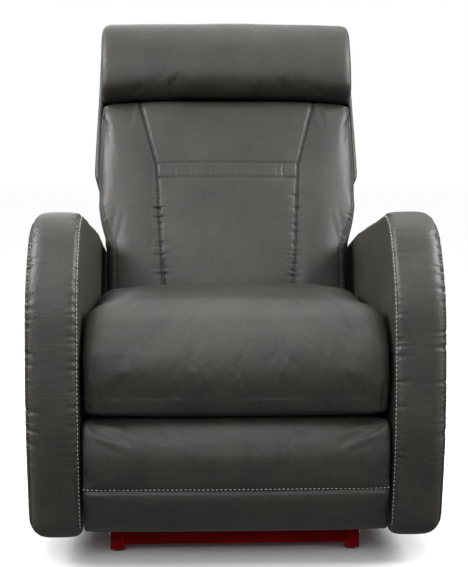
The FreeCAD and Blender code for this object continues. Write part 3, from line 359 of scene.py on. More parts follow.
def fuller(piece, half, start, power):  # squares the ends of a cushion where the arms hold it
    points = pointsOf(piece)
    size = np.abs(points[:, 0])
    part = np.clip((size - start) / (size.max() - start), 0, 1)
    wide = start + (half - start) * (1 - (1 - part) ** power)
    points[:, 0] = np.where(size > start, np.sign(points[:, 0]) * wide, points[:, 0])
    setPoints(piece, points)


def drawnTo(piece, low, high, bottom=None, top=None):  # draws the lowest or highest edge to a level
    points = pointsOf(piece)
    z = points[:, 2]
    part = np.clip((z - low) / (high - low), 0, 1)
    if top is not None:
        points[:, 2] = z + (top - z.max()) * part
    if bottom is not None:
        points[:, 2] = z + (bottom - z.min()) * (1 - part)
    setPoints(piece, points)


def kept(piece, low, high):  # keeps a cover inside the room that its neighbours leave
    setPoints(piece, np.clip(pointsOf(piece), low, high))


def eased(part):  # starts and ends gently
    part = np.clip(part, 0, 1)
    return part * part * (3 - 2 * part)


def lipped(piece, values, way):  # fills the front edge, upward or downward
    spots = pointsOf(piece)
    near = eased(way * (spots[:, 2] - values["lipFrom"]) / values["lipOver"])
    near *= eased((values["lipFront"] - spots[:, 1]) / values["lipDepth"])
    spots[:, 1] -= values["lip"] * near
    setPoints(piece, spots)


def ripple(points, size, seed):  # slow unevenness of hand-filled padding
    chance = np.random.default_rng(seed)
    waves = 9
    total = np.zeros(len(points))
    for count in range(waves):
        way = chance.normal(size=3)
        way /= np.linalg.norm(way)
        wave = size * chance.uniform(0.6, 1.7)
        total += np.sin(points @ way * 2 * math.pi / wave + chance.uniform(0, 6.28))
    return total / math.sqrt(waves)


def spaced(line, step):  # the same line with evenly spaced points
    line = np.asarray(line, float)
    along = np.concatenate([[0], np.cumsum(np.linalg.norm(np.diff(line, axis=0), axis=1))])
    marks = np.linspace(0, along[-1], max(2, int(along[-1] / step) + 1))
    return np.column_stack([np.interp(marks, along, line[:, axis]) for axis in range(3)])


def nearOn(line, points):
    tree = kdtree.KDTree(len(line))
    for count, spot in enumerate(line):
        tree.insert(spot, count)
    tree.balance()
    found = [tree.find(spot) for spot in points]
    return np.array([f[1] for f in found]), np.array([f[2] for f in found])


def sewn(piece, line, values):  # sinks a seam and gathers the cover beside it
    step = 0.002
    line = spaced(line, step)
    points, normals = pointsOf(piece), normalsOf(piece)
    reach = values.get("reach", 0.0) * 2 + values["width"] * 3
    near = np.all((points > line.min(0) - reach) & (points < line.max(0) + reach), axis=1)
    index, away = nearOn(line, points[near])
    along = index * step
    sink = values["depth"] * np.exp(-(away / values["width"]) ** 2)
    chance = random.Random(values.get("seed", 1))
    length = len(line) * step
    for count in range(values.get("puckers", 0)):
        spot = chance.uniform(values.get("first", 0.0), values.get("last", 1.0)) * length
        deep = values["gather"] * chance.uniform(0.4, 1.0)
        wide = chance.uniform(*values.get("fold", (0.003, 0.0055)))
        long = values["reach"] * chance.uniform(0.35, 1.0)
        across = ((along - spot) / wide) ** 2
        sink += deep * (1 - 0.9 * across) * np.exp(-across) * np.exp(-(away / long) ** 2)
    points[near] -= normals[near] * sink[:, None]
    setPoints(piece, points)


def skinOf(piece):
    graph = bpy.context.evaluated_depsgraph_get()
    graph.update()
    return BVHTree.FromObject(piece, graph)


def castLine(piece, starts, way):  # a line thrown on to a cover
    skin = skinOf(piece)
    way = Vector(way)
    hits = [skin.ray_cast(Vector(s), way)[0] for s in starts]
    return np.array([tuple(h) for h in hits if h is not None])


def laidLine(skin, line, aside, lift):  # a line on the skin, moved aside along it
    line = spaced(line, 0.003)
    normals = np.array([tuple(skin.find_nearest(Vector(p))[1]) for p in line])
    wide = 6  # points on either side that even out the normals
    padded = np.pad(normals, ((wide, wide), (0, 0)), mode="edge")
    normals = np.mean([padded[i:i + len(line)] for i in range(2 * wide + 1)], axis=0)
    normals /= np.linalg.norm(normals, axis=1, keepdims=True)
    side = np.cross(np.gradient(line, axis=0), normals)
    side /= np.maximum(np.linalg.norm(side, axis=1, keepdims=True), 1e-9)
    line = line + side * aside
    skinAt = np.array([tuple(skin.find_nearest(Vector(p))[0]) for p in line])
    height = np.sum((skinAt - line) * normals, axis=1, keepdims=True) + lift
    return line + normals * height  # up or down only, so the row stays straight


def stitchTree():
    tree = bpy.data.node_groups.new("stitchRow", "GeometryNodeTree")
    face = tree.interface
    face.new_socket("Seam", in_out="INPUT", socket_type="NodeSocketGeometry")
    for title in ("Pitch", "Length", "Thickness"):
        face.new_socket(title, in_out="INPUT", socket_type="NodeSocketFloat")
    face.new_socket("Thread", in_out="INPUT", socket_type="NodeSocketMaterial")
    face.new_socket("Stitches", in_out="OUTPUT", socket_type="NodeSocketGeometry")
    add, link = tree.nodes.new, tree.links.new
    given, done = add("NodeGroupInput"), add("NodeGroupOutput")
    path, spots = add("GeometryNodeMeshToCurve"), add("GeometryNodeCurveToPoints")
    spots.mode = "LENGTH"
    bead = add("GeometryNodeMeshUVSphere")
    bead.inputs["Segments"].default_value = 6
    bead.inputs["Rings"].default_value = 4
    bead.inputs["Radius"].default_value = 0.5
    vary = add("FunctionNodeRandomValue")
    vary.inputs[2].default_value = 0.88
    vary.inputs[3].default_value = 1.06
    vary.inputs["Seed"].default_value = 7
    stretch = add("ShaderNodeMath")
    stretch.operation = "MULTIPLY"
    size = add("ShaderNodeCombineXYZ")
    rows, real = add("GeometryNodeInstanceOnPoints"), add("GeometryNodeRealizeInstances")
    paint = add("GeometryNodeSetMaterial")
    link(given.outputs["Seam"], path.inputs["Mesh"])
    link(path.outputs["Curve"], spots.inputs["Curve"])
    link(given.outputs["Pitch"], spots.inputs["Length"])
    link(given.outputs["Length"], stretch.inputs[0])
    link(vary.outputs[1], stretch.inputs[1])
    link(given.outputs["Thickness"], size.inputs["X"])
    link(given.outputs["Thickness"], size.inputs["Y"])
    link(stretch.outputs[0], size.inputs["Z"])
    link(spots.outputs["Points"], rows.inputs["Points"])
    link(spots.outputs["Rotation"], rows.inputs["Rotation"])
    link(bead.outputs["Mesh"], rows.inputs["Instance"])
    link(size.outputs["Vector"], rows.inputs["Scale"])
    link(rows.outputs["Instances"], real.inputs["Geometry"])
    link(real.outputs["Geometry"], paint.inputs["Geometry"])
    link(given.outputs["Thread"], paint.inputs["Material"])
    link(paint.outputs["Geometry"], done.inputs["Stitches"])
    return tree


stitchRow = stitchTree()


def stitched(name, lines, body, values, thread):
    points, edges = [], []
    for line in lines:
        first = len(points)
        points += [tuple(p) for p in line]
        edges += [(i, i + 1) for i in range(first, len(points) - 1)]
    carrier = addPiece(name + "Path", meshOf(name + "Path", points, [], edges))
    step = carrier.modifiers.new("stitches", "NODES")
    step.node_group = stitchRow
    wanted = {"Pitch": values["pitch"], "Length": values["length"],
              "Thickness": values["thick"], "Thread": thread}
    for item in stitchRow.interface.items_tree:
        if item.in_out == "INPUT" and item.name in wanted:
            step[item.identifier] = wanted[item.name]
    graph = bpy.context.evaluated_depsgraph_get()
    mesh = bpy.data.meshes.new_from_object(carrier.evaluated_get(graph))
    carrier.modifiers.remove(step)
    bpy.data.objects.remove(carrier)
    mesh.shade_smooth()
    piece = addPiece(name, mesh)
    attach(piece, body)


def covered(piece, nodes, body):
    piece.data.materials.clear()
    piece.data.materials.append(greyLeather)
    piece.data.shade_smooth()
    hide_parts(*nodes)
    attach(piece, body)


def roundedOutline(corners, step):  # closed line of (y, z) with every corner turned on its radius
    line = []
    for count, (y, z, radius) in enumerate(corners):
        here = np.array((y, z))
        back = np.array(corners[count - 1][:2]) - here
        on = np.array(corners[(count + 1) % len(corners)][:2]) - here
        back, on = back / np.linalg.norm(back), on / np.linalg.norm(on)
        half = math.acos(np.clip(back @ on, -1, 1)) / 2
        centre = here + (back + on) / np.linalg.norm(back + on) * radius / math.sin(half)
        first = here + back * radius / math.tan(half) - centre
        last = here + on * radius / math.tan(half) - centre
        start = math.atan2(first[1], first[0])
        turn = (math.atan2(last[1], last[0]) - start + math.pi) % (2 * math.pi) - math.pi
        for part in np.linspace(0, 1, max(3, int(abs(turn) * radius / step))):
            angle = start + turn * part
            line.append(centre + radius * np.array((math.cos(angle), math.sin(angle))))
    line = np.array(line + line[:1])
    flat = spaced(np.column_stack([np.zeros(len(line)), line]), step)
    return flat[:-1, 1:]


def cutAway(piece, low, high):
    low, high = Vector(low), Vector(high)
    block = bmesh.new()
    bmesh.ops.create_cube(block, size=1)
    bmesh.ops.scale(block, vec=high - low, verts=block.verts)
    bmesh.ops.translate(block, vec=(low + high) / 2, verts=block.verts)
    mesh = bpy.data.meshes.new("cutter")
    block.to_mesh(mesh)
    block.free()
    cutter = addPiece("cutter", mesh)
    applied(piece, "BOOLEAN", operation="DIFFERENCE", object=cutter, solver="EXACT")
    bpy.data.objects.remove(cutter)


# arms: inner and outer panels with a wide band that runs up the front and over the top
arm = {
    "corners": [(-0.420, 0.050, 0.048), (-0.4615, 0.280, 0.700), (-0.440, 0.520, 0.260),
                (-0.345, 0.665, 0.110), (0.100, 0.602, 0.500), (0.355, 0.545, 0.052), (0.355, 0.050, 0.048)],
    "inner": 0.290, "outer": 0.390, "innerRound": 0.012, "outerRound": 0.030,
    "pocketLow": (0.280, -0.2925, 0.040), "pocketHigh": (0.3155, 0.3345, 0.3045),
    "panelLow": (-0.400, -0.1435, 0.3895), "panelHigh": (-0.3635, -0.0965, 0.5205),
    "outlineStep": 0.006, "cell": 0.0068, "bandCrown": 0.003, "bandReach": 0.02,
    "sideCrown": 0.006, "sideFrom": 0.370, "sideBlend": 0.018, "fillReach": 0.07,
    "panelSide": 0.375, "panelClear": 0.010, "panelBlend": 0.11, "ripple": 0.0009, "rippleSize": 0.16,
    "seamFoot": 0.072,
    "innerSeam": {"x": 0.2948, "inset": 0.0024, "depth": 0.0026, "width": 0.0032, "puckers": 34,
                  "gather": 0.0019, "reach": 0.020, "first": 0.06, "last": 0.36},
    "outerSeam": {"x": 0.3845, "inset": 0.0127, "depth": 0.0030, "width": 0.0034, "puckers": 44,
                  "gather": 0.0021, "reach": 0.024, "first": 0.06, "last": 0.42},
    "stitch": {"pitch": 0.0082, "length": 0.0054, "thick": 0.0018}, "aside": 0.0034,
    "paleLift": 0.0003, "darkLift": 0.0001,
}


def makeArm(name, side, nodes, seed):
    outline = roundedOutline(arm["corners"], arm["outlineStep"])
    ahead = np.roll(outline, -1, axis=0) - np.roll(outline, 1, axis=0)
    inward = np.column_stack([ahead[:, 1], -ahead[:, 0]])
    inward /= np.linalg.norm(inward, axis=1, keepdims=True)
    rings = []
    for angle in np.radians(np.arange(0, 91, 15)):
        rings.append((arm["inner"] + arm["innerRound"] * (1 - math.cos(angle)),
                      arm["innerRound"] * (1 - math.sin(angle))))
    for angle in np.radians(np.arange(90, -1, -10)):
        rings.append((arm["outer"] - arm["outerRound"] * (1 - math.cos(angle)),
                      arm["outerRound"] * (1 - math.sin(angle))))
    points, faces, count = [], [], len(outline)
    for x, inset in rings:
        points += [(side * x, y, z) for y, z in outline + inward * inset]
    for row in range(len(rings) - 1):
        for i in range(count):
            j = (i + 1) % count
            faces.append((row * count + i, row * count + j, (row + 1) * count + j, (row + 1) * count + i))
    middle = outline.mean(0)
    for row, x in ((0, arm["inner"]), (len(rings) - 1, arm["outer"])):
        points.append((side * x, *middle))
        faces += [(row * count + i, row * count + (i + 1) % count, len(points) - 1) for i in range(count)]
    piece = addPiece(name, meshOf(name, points, faces))
    shape = bmesh.new()
    shape.from_mesh(piece.data)
    bmesh.ops.recalc_face_normals(shape, faces=shape.faces)
    shape.to_mesh(piece.data)
    shape.free()
    xs = sorted((side * arm["pocketLow"][0], side * arm["pocketHigh"][0]))
    cutAway(piece, (xs[0], *arm["pocketLow"][1:]), (xs[1], *arm["pocketHigh"][1:]))
    if side < 0:
        cutAway(piece, arm["panelLow"], arm["panelHigh"])
    evened(piece, arm["cell"], 2)
    applied(piece, "SUBSURF", levels=1, render_levels=1)

    spots = pointsOf(piece)
    edge = np.column_stack([np.zeros(count), outline])
    flat = spots.copy()
    flat[:, 0] = 0
    deep = nearOn(edge, flat)[1]
    half = (arm["outer"] - arm["inner"]) / 2
    across = (np.abs(spots[:, 0]) - arm["inner"] - half) / half
    onBand = np.clip(1 - deep / arm["bandReach"], 0, 1)
    lift = arm["bandCrown"] * np.clip(1 - across ** 2, 0, 1) * onBand
    onSide = np.clip((np.abs(spots[:, 0]) - arm["sideFrom"]) / arm["sideBlend"], 0, 1)
    fullness = 1 - np.exp(-np.clip(deep - arm["bandReach"], 0, 1) / arm["fillReach"])
    if side < 0:  # the cover lies flat round the switch panel
        low, high = np.array(arm["panelLow"][1:]), np.array(arm["panelHigh"][1:])
        gap = np.maximum(np.maximum(low - spots[:, 1:], spots[:, 1:] - high), 0)
        fullness *= eased((np.linalg.norm(gap, axis=1) - arm["panelClear"]) / arm["panelBlend"])
        onSide *= np.abs(spots[:, 0]) > arm["panelSide"]
    lift += arm["sideCrown"] * onSide * fullness
    uneven = arm["ripple"] * ripple(spots, arm["rippleSize"], seed)
    lift += uneven * np.maximum(onBand, onSide * fullness)
    shifted(piece, lift)

    above = np.nonzero(outline[:, 1] > arm["seamFoot"])[0]
    run, push = outline[above[0]:above[-1]], inward[above[0]:above[-1]]
    seams = []
    for offset, key in enumerate(("innerSeam", "outerSeam")):
        values = dict(arm[key], seed=seed * 10 + offset)
        line = np.column_stack([np.full(len(run), side * values["x"]), run + push * values["inset"]])
        sewn(piece, line, values)
        seams.append(line)
    covered(piece, nodes, "chair")
    skin = skinOf(piece)
    paleLine = laidLine(skin, seams[0], -side * arm["aside"], arm["paleLift"])
    darkLine = laidLine(skin, seams[1], side * arm["aside"], arm["darkLift"])
    stitched(name + "PaleStitches", [paleLine], "chair", arm["stitch"], paleThread)
    stitched(name + "DarkStitches", [darkLine], "chair", arm["stitch"], darkThread)
    print(name, len(piece.data.polygons), "faces")


makeArm("armLeft", -1, ["arm_cover_left"], 3)
makeArm("armRight", 1, ["arm_cover_right"], 4)

# seat: one crowned cushion that rolls over the front edge
seat = {"cell": 0.006, "shrink": 0.004, "cap": 0.011,
        "heldTop": 0.352, "heldFront": -0.350, "heldLow": 0.300, "heldRear": 0.070,
        "lipFrom": 0.340, "lipOver": 0.055, "lipFront": -0.34, "lipDepth": 0.04, "lip": 0.005,
        "rollBottom": 0.2818, "rollLow": 0.285, "rollHigh": 0.365,
        "side": 0.2870, "squareFrom": 0.215, "square": 1.9,
        "flatten": 0.004, "flatHalf": 0.28, "flatFrom": 0.44, "flatOver": 0.04,
        "ripple": 0.0011, "rippleSize": 0.20, "rippleFrom": 0.32}
seatPad = softCopy("seatLeather", "seat_cushion", seat["cell"], 4)
shifted(seatPad, -seat["shrink"])
y, z = pointsOf(seatPad).T[1:]
seatHeld = (z < seat["heldTop"]) & (y > seat["heldFront"]) | (z < seat["heldLow"]) | (y > seat["heldRear"])
puffed(seatPad, seatHeld, seat["cap"])
lipped(seatPad, seat, -1)
drawnTo(seatPad, seat["rollLow"], seat["rollHigh"], bottom=seat["rollBottom"])
fuller(seatPad, seat["side"], seat["squareFrom"], seat["square"])
spots = pointsOf(seatPad)
crown = np.clip(1 - (spots[:, 0] / seat["flatHalf"]) ** 2, 0, 1)
crown *= np.clip((spots[:, 2] - seat["flatFrom"]) / seat["flatOver"], 0, 1)
spots[:, 2] -= seat["flatten"] * crown
setPoints(seatPad, spots)
uneven = seat["ripple"] * ripple(spots, seat["rippleSize"], 21)
shifted(seatPad, uneven * (spots[:, 2] > seat["rippleFrom"]))
kept(seatPad, (-seat["side"], -1, seat["rollBottom"]), (seat["side"], 1, 2))
covered(seatPad, ["seat_cushion"], "seat")
print("seat", len(seatPad.data.polygons), "faces")

# leg rest: a pad with one level seam low down
legRest = {"cell": 0.0055, "shrink": 0.003, "cap": 0.009, "heldRear": -0.384, "heldSeam": 0.004,
           "lipFrom": 0.225, "lipOver": 0.05, "lipFront": -0.38, "lipDepth": 0.04, "lip": 0.006,
           "under": 0.024, "underOver": 0.095, "underDepth": 0.055,
           "top": 0.2808, "topLow": 0.225, "topHigh": 0.275, "bottom": 0.050, "rear": -0.3745,
           "side": 0.2870, "squareFrom": 0.225, "square": 2.0, "seamHeight": 0.147, "seamHalf": 0.284,
           "seam": {"depth": 0.0044, "width": 0.0031, "puckers": 40, "gather": 0.0006, "reach": 0.014,
                    "seed": 31},
           "stitch": {"pitch": 0.0082, "length": 0.0058, "thick": 0.0020}, "aside": 0.0036, "lift": 0.0003}
legPad = softCopy("legRestLeather", "legrest_pad", legRest["cell"], 3)
shifted(legPad, -legRest["shrink"])
y, z = pointsOf(legPad).T[1:]
legHeld = (y > legRest["heldRear"]) | (np.abs(z - legRest["seamHeight"]) < legRest["heldSeam"])
puffed(legPad, legHeld, legRest["cap"])
lipped(legPad, legRest, 1)
spots = pointsOf(legPad)
below = np.clip((legRest["seamHeight"] - spots[:, 2]) / legRest["underOver"], 0, 1)
forward = np.clip((legRest["rear"] - spots[:, 1]) / legRest["underDepth"], 0, 1)
spots[:, 1] += legRest["under"] * below * forward  # the pad turns under below its seam
setPoints(legPad, spots)
drawnTo(legPad, legRest["topLow"], legRest["topHigh"], top=legRest["top"])
fuller(legPad, legRest["side"], legRest["squareFrom"], legRest["square"])
kept(legPad, (-legRest["side"], -1, legRest["bottom"]), (legRest["side"], legRest["rear"], legRest["top"]))
across = np.linspace(-legRest["seamHalf"], legRest["seamHalf"], 240)
level = [(x, -0.7, legRest["seamHeight"]) for x in across]
legSeam = castLine(legPad, level, (0, 1, 0))
sewn(legPad, legSeam, legRest["seam"])
covered(legPad, ["legrest_pad"], "legrest")
legStitches = laidLine(skinOf(legPad), legSeam, -legRest["aside"], legRest["lift"])
stitched("legRestPaleStitches", [legStitches], "legrest", legRest["stitch"], paleThread)
print("leg rest", len(legPad.data.polygons), "faces")

# back: a middle panel between two long seams, with a gathered band at the waist
back = {"cell": 0.006, "shrink": 0.004, "cap": 0.013, "hinge": (0.175, 0.330), "lean": 17.0,
        "frontFrom": -0.06, "seamHold": 0.0042, "seamSink": 0.002, "heldBehind": -0.034, "heldFoot": 0.03,
        "topAt": 0.578, "topFrom": 0.50,
        "widenHeights": (0.20, 0.25, 0.34), "widen": (1.050, 1.032, 1.010),
        "seamHeights": (0.0, 0.165, 0.4135, 0.575), "seamHalves": (0.143, 0.150, 0.165, 0.207),
        "seamRun": (0.045, 0.567), "tucks": (0.4135, 0.378), "tuckHalf": 0.158,
        "seam": {"depth": 0.0040, "width": 0.0030, "puckers": 26, "gather": 0.0016, "reach": 0.020,
                 "first": 0.18, "last": 0.55},
        "tuck": {"depth": 0.0019, "width": 0.0042},
        "shirr": {"depth": 0.0, "width": 0.0050, "puckers": 46, "gather": 0.0014, "reach": 0.018,
                  "first": 0.10, "last": 0.92, "fold": (0.0022, 0.0040)},
        "edgeHeights": (0.05, 0.215, 0.25, 0.285, 0.32, 0.436, 0.54, 0.560),
        "edgeHalves": (0.262, 0.266, 0.278, 0.292, 0.300, 0.300, 0.297, 0.292),
        "edgeInset": 0.007, "edgeRun": (0.06, 0.562), "away": 0.4,
        "edge": {"depth": 0.0022, "width": 0.0032, "puckers": 30, "gather": 0.0010, "reach": 0.012,
                 "first": 0.02, "last": 0.55},
        "stitch": {"pitch": 0.0062, "length": 0.0044, "thick": 0.0025}, "aside": 0.0032, "lift": 0.0004}
backTurn = math.radians(back["lean"])
backWay = (0, math.cos(backTurn), -math.sin(backTurn))  # from the front into the back


def onBack(x, behind, along):  # a place on the leaning back
    y = back["hinge"][0] + behind * math.cos(backTurn) + along * math.sin(backTurn)
    return x, y, back["hinge"][1] + along * math.cos(backTurn) - behind * math.sin(backTurn)


def backPlaces(points):  # how far behind and how far along the back each point is
    y, z = points[:, 1] - back["hinge"][0], points[:, 2] - back["hinge"][1]
    return y * math.cos(backTurn) - z * math.sin(backTurn), y * math.sin(backTurn) + z * math.cos(backTurn)


def raised(piece, rise):  # slides points up along the back
    spots = pointsOf(piece)
    spots[:, 1] += rise * math.sin(backTurn)
    spots[:, 2] += rise * math.cos(backTurn)
    setPoints(piece, spots)


def pairOnBack(piece, heights, halves, behind, way):  # one line on each side of the back
    lines = []
    for side in (-1, 1):
        starts = [onBack(side * half, behind, height) for half, height in zip(halves, heights)]
        lines.append(castLine(piece, starts, way))
    return lines


backPad = softCopy("backLeather", "back_cushion", back["cell"], 3)
shifted(backPad, -back["shrink"])
spots = pointsOf(backPad)
behind, along = backPlaces(spots)
seamAt = np.interp(along, back["seamHeights"], back["seamHalves"])
onSeam = (behind < back["frontFrom"]) & (np.abs(np.abs(spots[:, 0]) - seamAt) < back["seamHold"])
shifted(backPad, -np.where(onSeam, back["seamSink"], 0.0))
puffed(backPad, (behind > back["heldBehind"]) | onSeam | (along < back["heldFoot"]), back["cap"])
along = backPlaces(pointsOf(backPad))[1]
toTop = np.clip((along - back["topFrom"]) / (along.max() - back["topFrom"]), 0, 1)
raised(backPad, (back["topAt"] - along.max()) * toTop)
spots = pointsOf(backPad)
spots[:, 0] *= np.interp(along, back["widenHeights"], back["widen"])
setPoints(backPad, spots)
heights = np.linspace(*back["seamRun"], 220)
halves = np.interp(heights, back["seamHeights"], back["seamHalves"])
backSeams = pairOnBack(backPad, heights, halves, -back["away"], backWay)
heights = np.linspace(*back["edgeRun"], 220)
halves = np.interp(heights, back["edgeHeights"], back["edgeHalves"]) - back["edgeInset"]
backEdges = pairOnBack(backPad, heights, halves, -back["away"], backWay)
backTucks = []
for height in back["tucks"]:
    across = np.linspace(-back["tuckHalf"], back["tuckHalf"], 160)
    backTucks.append(castLine(backPad, [onBack(x, -back["away"], height) for x in across], backWay))
for count, line in enumerate(backSeams):
    sewn(backPad, line, dict(back["seam"], seed=41 + count))
for count, line in enumerate(backEdges):
    sewn(backPad, line, dict(back["edge"], seed=46 + count))
for line in backTucks:
    sewn(backPad, line, back["tuck"])
sewn(backPad, (backTucks[0] + backTucks[1]) / 2, dict(back["shirr"], seed=51))
covered(backPad, ["back_cushion"], "back")
skin = skinOf(backPad)
rows = [(line, way) for line in backSeams for way in (-1, 1)] + list(zip(backEdges, (-1, 1)))
backStitches = [laidLine(skin, line, way * back["aside"], back["lift"]) for line, way in rows]
stitched("backDarkStitches", backStitches, "back", back["stitch"], darkThread)
print("back", len(backPad.data.polygons), "faces")

# headrest: a roll across the top of the back
headrest = {"cell": 0.0055, "shrink": 0.003, "cap": 0.009,
            "heldBehind": -0.018, "heldTop": 0.74, "heldFoot": 0.552,
            "tuckFrom": 0.62, "tuckUp": 0.16, "topUp": 0.006, "topOver": 0.12,
            "side": 0.2955, "squareFrom": 0.24, "square": 1.7, "ripple": 0.0008, "rippleSize": 0.15}
headPad = softCopy("headrestLeather", "headrest_cushion", headrest["cell"], 3)
shifted(headPad, -headrest["shrink"])
behind, along = backPlaces(pointsOf(headPad))
headHeld = (behind > headrest["heldBehind"]) & (along < headrest["heldTop"]) | (along < headrest["heldFoot"])
puffed(headPad, headHeld, headrest["cap"])
along = backPlaces(pointsOf(headPad))[1]
rise = headrest["tuckUp"] * np.clip(headrest["tuckFrom"] - along, 0, 1)
rise += headrest["topUp"] * np.clip((along - headrest["tuckFrom"]) / headrest["topOver"], 0, 1)
raised(headPad, rise)
fuller(headPad, headrest["side"], headrest["squareFrom"], headrest["square"])
shifted(headPad, headrest["ripple"] * ripple(pointsOf(headPad), headrest["rippleSize"], 61))
covered(headPad, ["headrest_cushion"], "back")
print("headrest", len(headPad.data.polygons), "faces")

# outer back and rear panel: thinly padded covers
cover = {"cell": 0.0058, "panelCell": 0.0055, "panelHalf": 0.2885, "seamHalf": 0.235, "seamRun": (0.0, 0.735),
         "wingHeights": (0.30, 0.50, 0.62, 0.79), "wingHalves": (0.318, 0.313, 0.308, 0.303),
         "wingInside": 0.2945, "wallInside": 0.315, "wallOutside": 0.329, "wingFrom": 0.286,
         "lowHeights": (0.07, 0.13, 0.30, 0.35), "lowWiden": (0.0, 0.0192, 0.0192, 0.0),
         "lowFrom": 0.20, "lowHalf": 0.268,
         "seam": {"depth": 0.0016, "width": 0.0034, "puckers": 26, "gather": 0.0007, "reach": 0.014},
         "stitch": {"pitch": 0.0066, "length": 0.0044, "thick": 0.0013}, "aside": 0.0036, "lift": 0.0001}
outerBack = softCopy("outerBackLeather", "outer_back", cover["cell"], 3)
spots = pointsOf(outerBack)
wide = np.abs(spots[:, 0])
outside = np.interp(backPlaces(spots)[1], cover["wingHeights"], cover["wingHalves"])
wallPart = (wide - cover["wallInside"]) / (cover["wallOutside"] - cover["wallInside"])
innerPart = (wide - cover["wingFrom"]) / (cover["wallInside"] - cover["wingFrom"])
drawn = np.where(wallPart > 0, cover["wingInside"] + (outside - cover["wingInside"]) * wallPart,
                 cover["wingFrom"] + (cover["wingInside"] - cover["wingFrom"]) * innerPart)
spots[:, 0] = np.where(wide > cover["wingFrom"], np.sign(spots[:, 0]) * drawn, spots[:, 0])
widen = np.interp(backPlaces(spots)[1], cover["lowHeights"], cover["lowWiden"])
widen *= np.clip((wide - cover["lowFrom"]) / (cover["lowHalf"] - cover["lowFrom"]), 0, 1)
widen *= wide < cover["wingFrom"]
spots[:, 0] += np.sign(spots[:, 0]) * widen
setPoints(outerBack, spots)
applied(outerBack, "SMOOTH", factor=0.5, iterations=5)
applied(outerBack, "SUBSURF", levels=1, render_levels=1)
heights = np.linspace(*cover["seamRun"], 240)
halves = np.full(len(heights), cover["seamHalf"])
outerSeams = pairOnBack(outerBack, heights, halves, back["away"], -Vector(backWay))
for count, line in enumerate(outerSeams):
    sewn(outerBack, line, dict(cover["seam"], seed=71 + count))
covered(outerBack, ["outer_back"], "back")
skin = skinOf(outerBack)
outerStitches = [laidLine(skin, line, way * cover["aside"], cover["lift"])
                 for line in outerSeams for way in (-1, 1)]
stitched("outerBackDarkStitches", outerStitches, "back", cover["stitch"], darkThread)
rearPanel = softCopy("rearPanelLeather", "rear_panel", cover["panelCell"], 2)
applied(rearPanel, "SUBSURF", levels=1, render_levels=1)
spots = pointsOf(rearPanel)
spots[:, 0] *= cover["panelHalf"] / spots[:, 0].max()  # as wide as the room between the arms
setPoints(rearPanel, spots)
covered(rearPanel, ["rear_panel"], "chair")
print("covers", len(outerBack.data.polygons) + len(rearPanel.data.polygons), "faces")

# rocker springs: the same coils, with a mesh of their own on the base
rockerCoils = mergedCopy("rockerCoils", "rocker_springs")
rockerCoils.data.materials.clear()
rockerCoils.data.materials.append(springSteel)
rockerCoils.data.shade_smooth()
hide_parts("rocker_springs")
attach(rockerCoils, "base")
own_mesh(rockerCoils)
print("rocker springs", len(rockerCoils.data.polygons), "faces")

# raised arrow marks on the four buttons
mark = {"width": 0.0090, "height": 0.0080, "foot": -0.4, "tip": 0.6, "proud": 0.0005}
markTurns = {"legrest_out_button": 1, "legrest_in_button": -1, "recline_button": 1, "upright_button": -1}
for button, turn in markTurns.items():
    low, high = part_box(button)
    centre = (low + high) / 2
    shape = bmesh.new()
    tips = [(-mark["width"] / 2, mark["foot"]), (mark["width"] / 2, mark["foot"]), (0, mark["tip"])]
    corners = [shape.verts.new((low.x, centre.y + y, centre.z + turn * z * mark["height"])) for y, z in tips]
    base = shape.faces.new(corners)
    top = bmesh.ops.extrude_face_region(shape, geom=[base])["geom"]
    topCorners = [part for part in top if isinstance(part, bmesh.types.BMVert)]
    bmesh.ops.translate(shape, vec=(-mark["proud"], 0, 0), verts=topCorners)
    bmesh.ops.recalc_face_normals(shape, faces=shape.faces)
    mesh = bpy.data.meshes.new(button + "Mark")
    shape.to_mesh(mesh)
    shape.free()
    mesh.materials.append(markPaint)
    piece = addPiece(button + "Mark", mesh)
    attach(piece, button)
print("button marks: done")

# studio: pale floor, soft light, camera at the photograph's angle
studio = {"eye": (-0.080, -2.676, 0.7425), "yaw": 1.90, "pitch": -5.32, "lens": 78.26,
          "sensor": 36.0, "floor": (0.89, 0.89, 0.885, 1), "floorPale": (0.92, 0.92, 0.915, 1),
          "floorRough": 0.85, "floorReach": 40, "sky": (1.0, 1.0, 1.0, 1), "skyLight": 0.68, "lowLight": 0.19,
          "skyBlend": 0.3, "skySeen": 1.0, "overhead": 1.35, "overheadSpread": 70, "overheadTilt": -14}
lamps = {
    "frontLight": {"place": (-0.7, -3.4, 2.4), "aim": (0.0, -0.4, 0.3), "size": 2.0, "power": 36.0},
    "rightLight": {"place": (2.7, -0.3, 2.1), "aim": (-0.3, -0.1, 0.6), "size": 1.4, "power": 92.0},
    "leftLight": {"place": (-2.7, -0.3, 2.1), "aim": (0.3, -0.1, 0.6), "size": 1.4, "power": 92.0},
    "rearLight": {"place": (-0.6, 3.2, 2.2), "aim": (0.0, 0.2, 0.5), "size": 2.2, "power": 26.0},
}
floorFinish, floorShader, floorPlace = newFinish("paleFloor")
floorCloud = floorPlace.noise(Scale=3.0, Detail=3.0)
floorCloud.between(studio["floor"], studio["floorPale"]).wire(floorShader, "Base Color")
floorShader.inputs["Roughness"].default_value = studio["floorRough"]
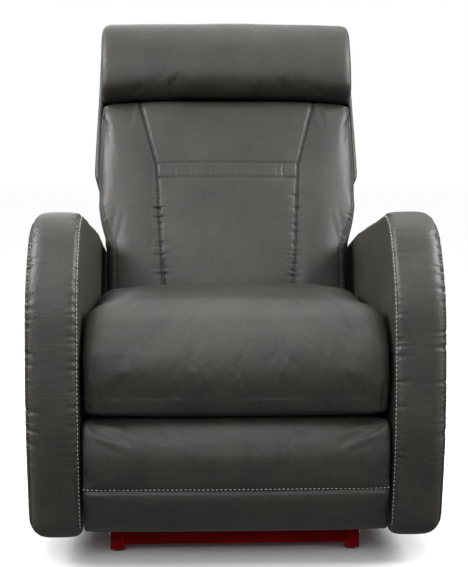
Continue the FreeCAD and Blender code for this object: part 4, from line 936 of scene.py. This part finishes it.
reach = studio["floorReach"]
floorCorners = [(-reach, -reach, 0), (reach, -reach, 0), (reach, reach, 0), (-reach, reach, 0)]
floor = addPiece("studioFloor", meshOf("studioFloor", floorCorners, [(0, 1, 2, 3)]))
floor.data.materials.append(floorFinish)
floor.visible_diffuse = False  # the floor throws little light back, as in the photograph
floor.visible_glossy = False
scene.world = bpy.data.worlds.new("studioSky")
scene.world.use_nodes = True
skyTree = scene.world.node_tree
sky = skyTree.nodes["Background"]
sky.inputs["Color"].default_value = studio["sky"]
seen = Sock(skyTree, skyTree.nodes.new("ShaderNodeLightPath").outputs["Is Camera Ray"])
skyPlace = Sock(skyTree, skyTree.nodes.new("ShaderNodeTexCoord").outputs["Generated"])
skyHeight = seen.node("ShaderNodeSeparateXYZ", {}, {0: skyPlace}, 2)
skyGlow = seen.node("ShaderNodeMapRange", {"interpolation_type": "SMOOTHSTEP"},
                    {"Value": skyHeight, "From Min": -studio["skyBlend"], "From Max": studio["skyBlend"],
                     "To Min": studio["lowLight"], "To Max": studio["skyLight"]})
(skyGlow + (studio["skySeen"] - skyGlow) * seen).wire(sky, "Strength")
for name, values in lamps.items():
    light = bpy.data.lights.new(name, "AREA")
    light.shape = "DISK"
    light.size = values["size"]
    light.energy = values["power"]
    lamp = addPiece(name, light)
    lamp.location = values["place"]
    aim = Vector(values["aim"]) - Vector(values["place"])
    lamp.rotation_euler = aim.to_track_quat("-Z", "Y").to_euler()
overhead = bpy.data.lights.new("overheadLight", "SUN")  # even light on the whole floor
overhead.energy = studio["overhead"]
overhead.angle = math.radians(studio["overheadSpread"])
addPiece("overheadLight", overhead).rotation_euler = (math.radians(studio["overheadTilt"]), 0, 0)
lens = bpy.data.cameras.new("photoCamera")
lens.sensor_width = studio["sensor"]
lens.lens = studio["lens"]
camera = addPiece("photoCamera", lens)
camera.location = studio["eye"]
camera.rotation_euler = (math.radians(90 + studio["pitch"]), 0, -math.radians(studio["yaw"]))
scene.camera = camera
print("studio: done")
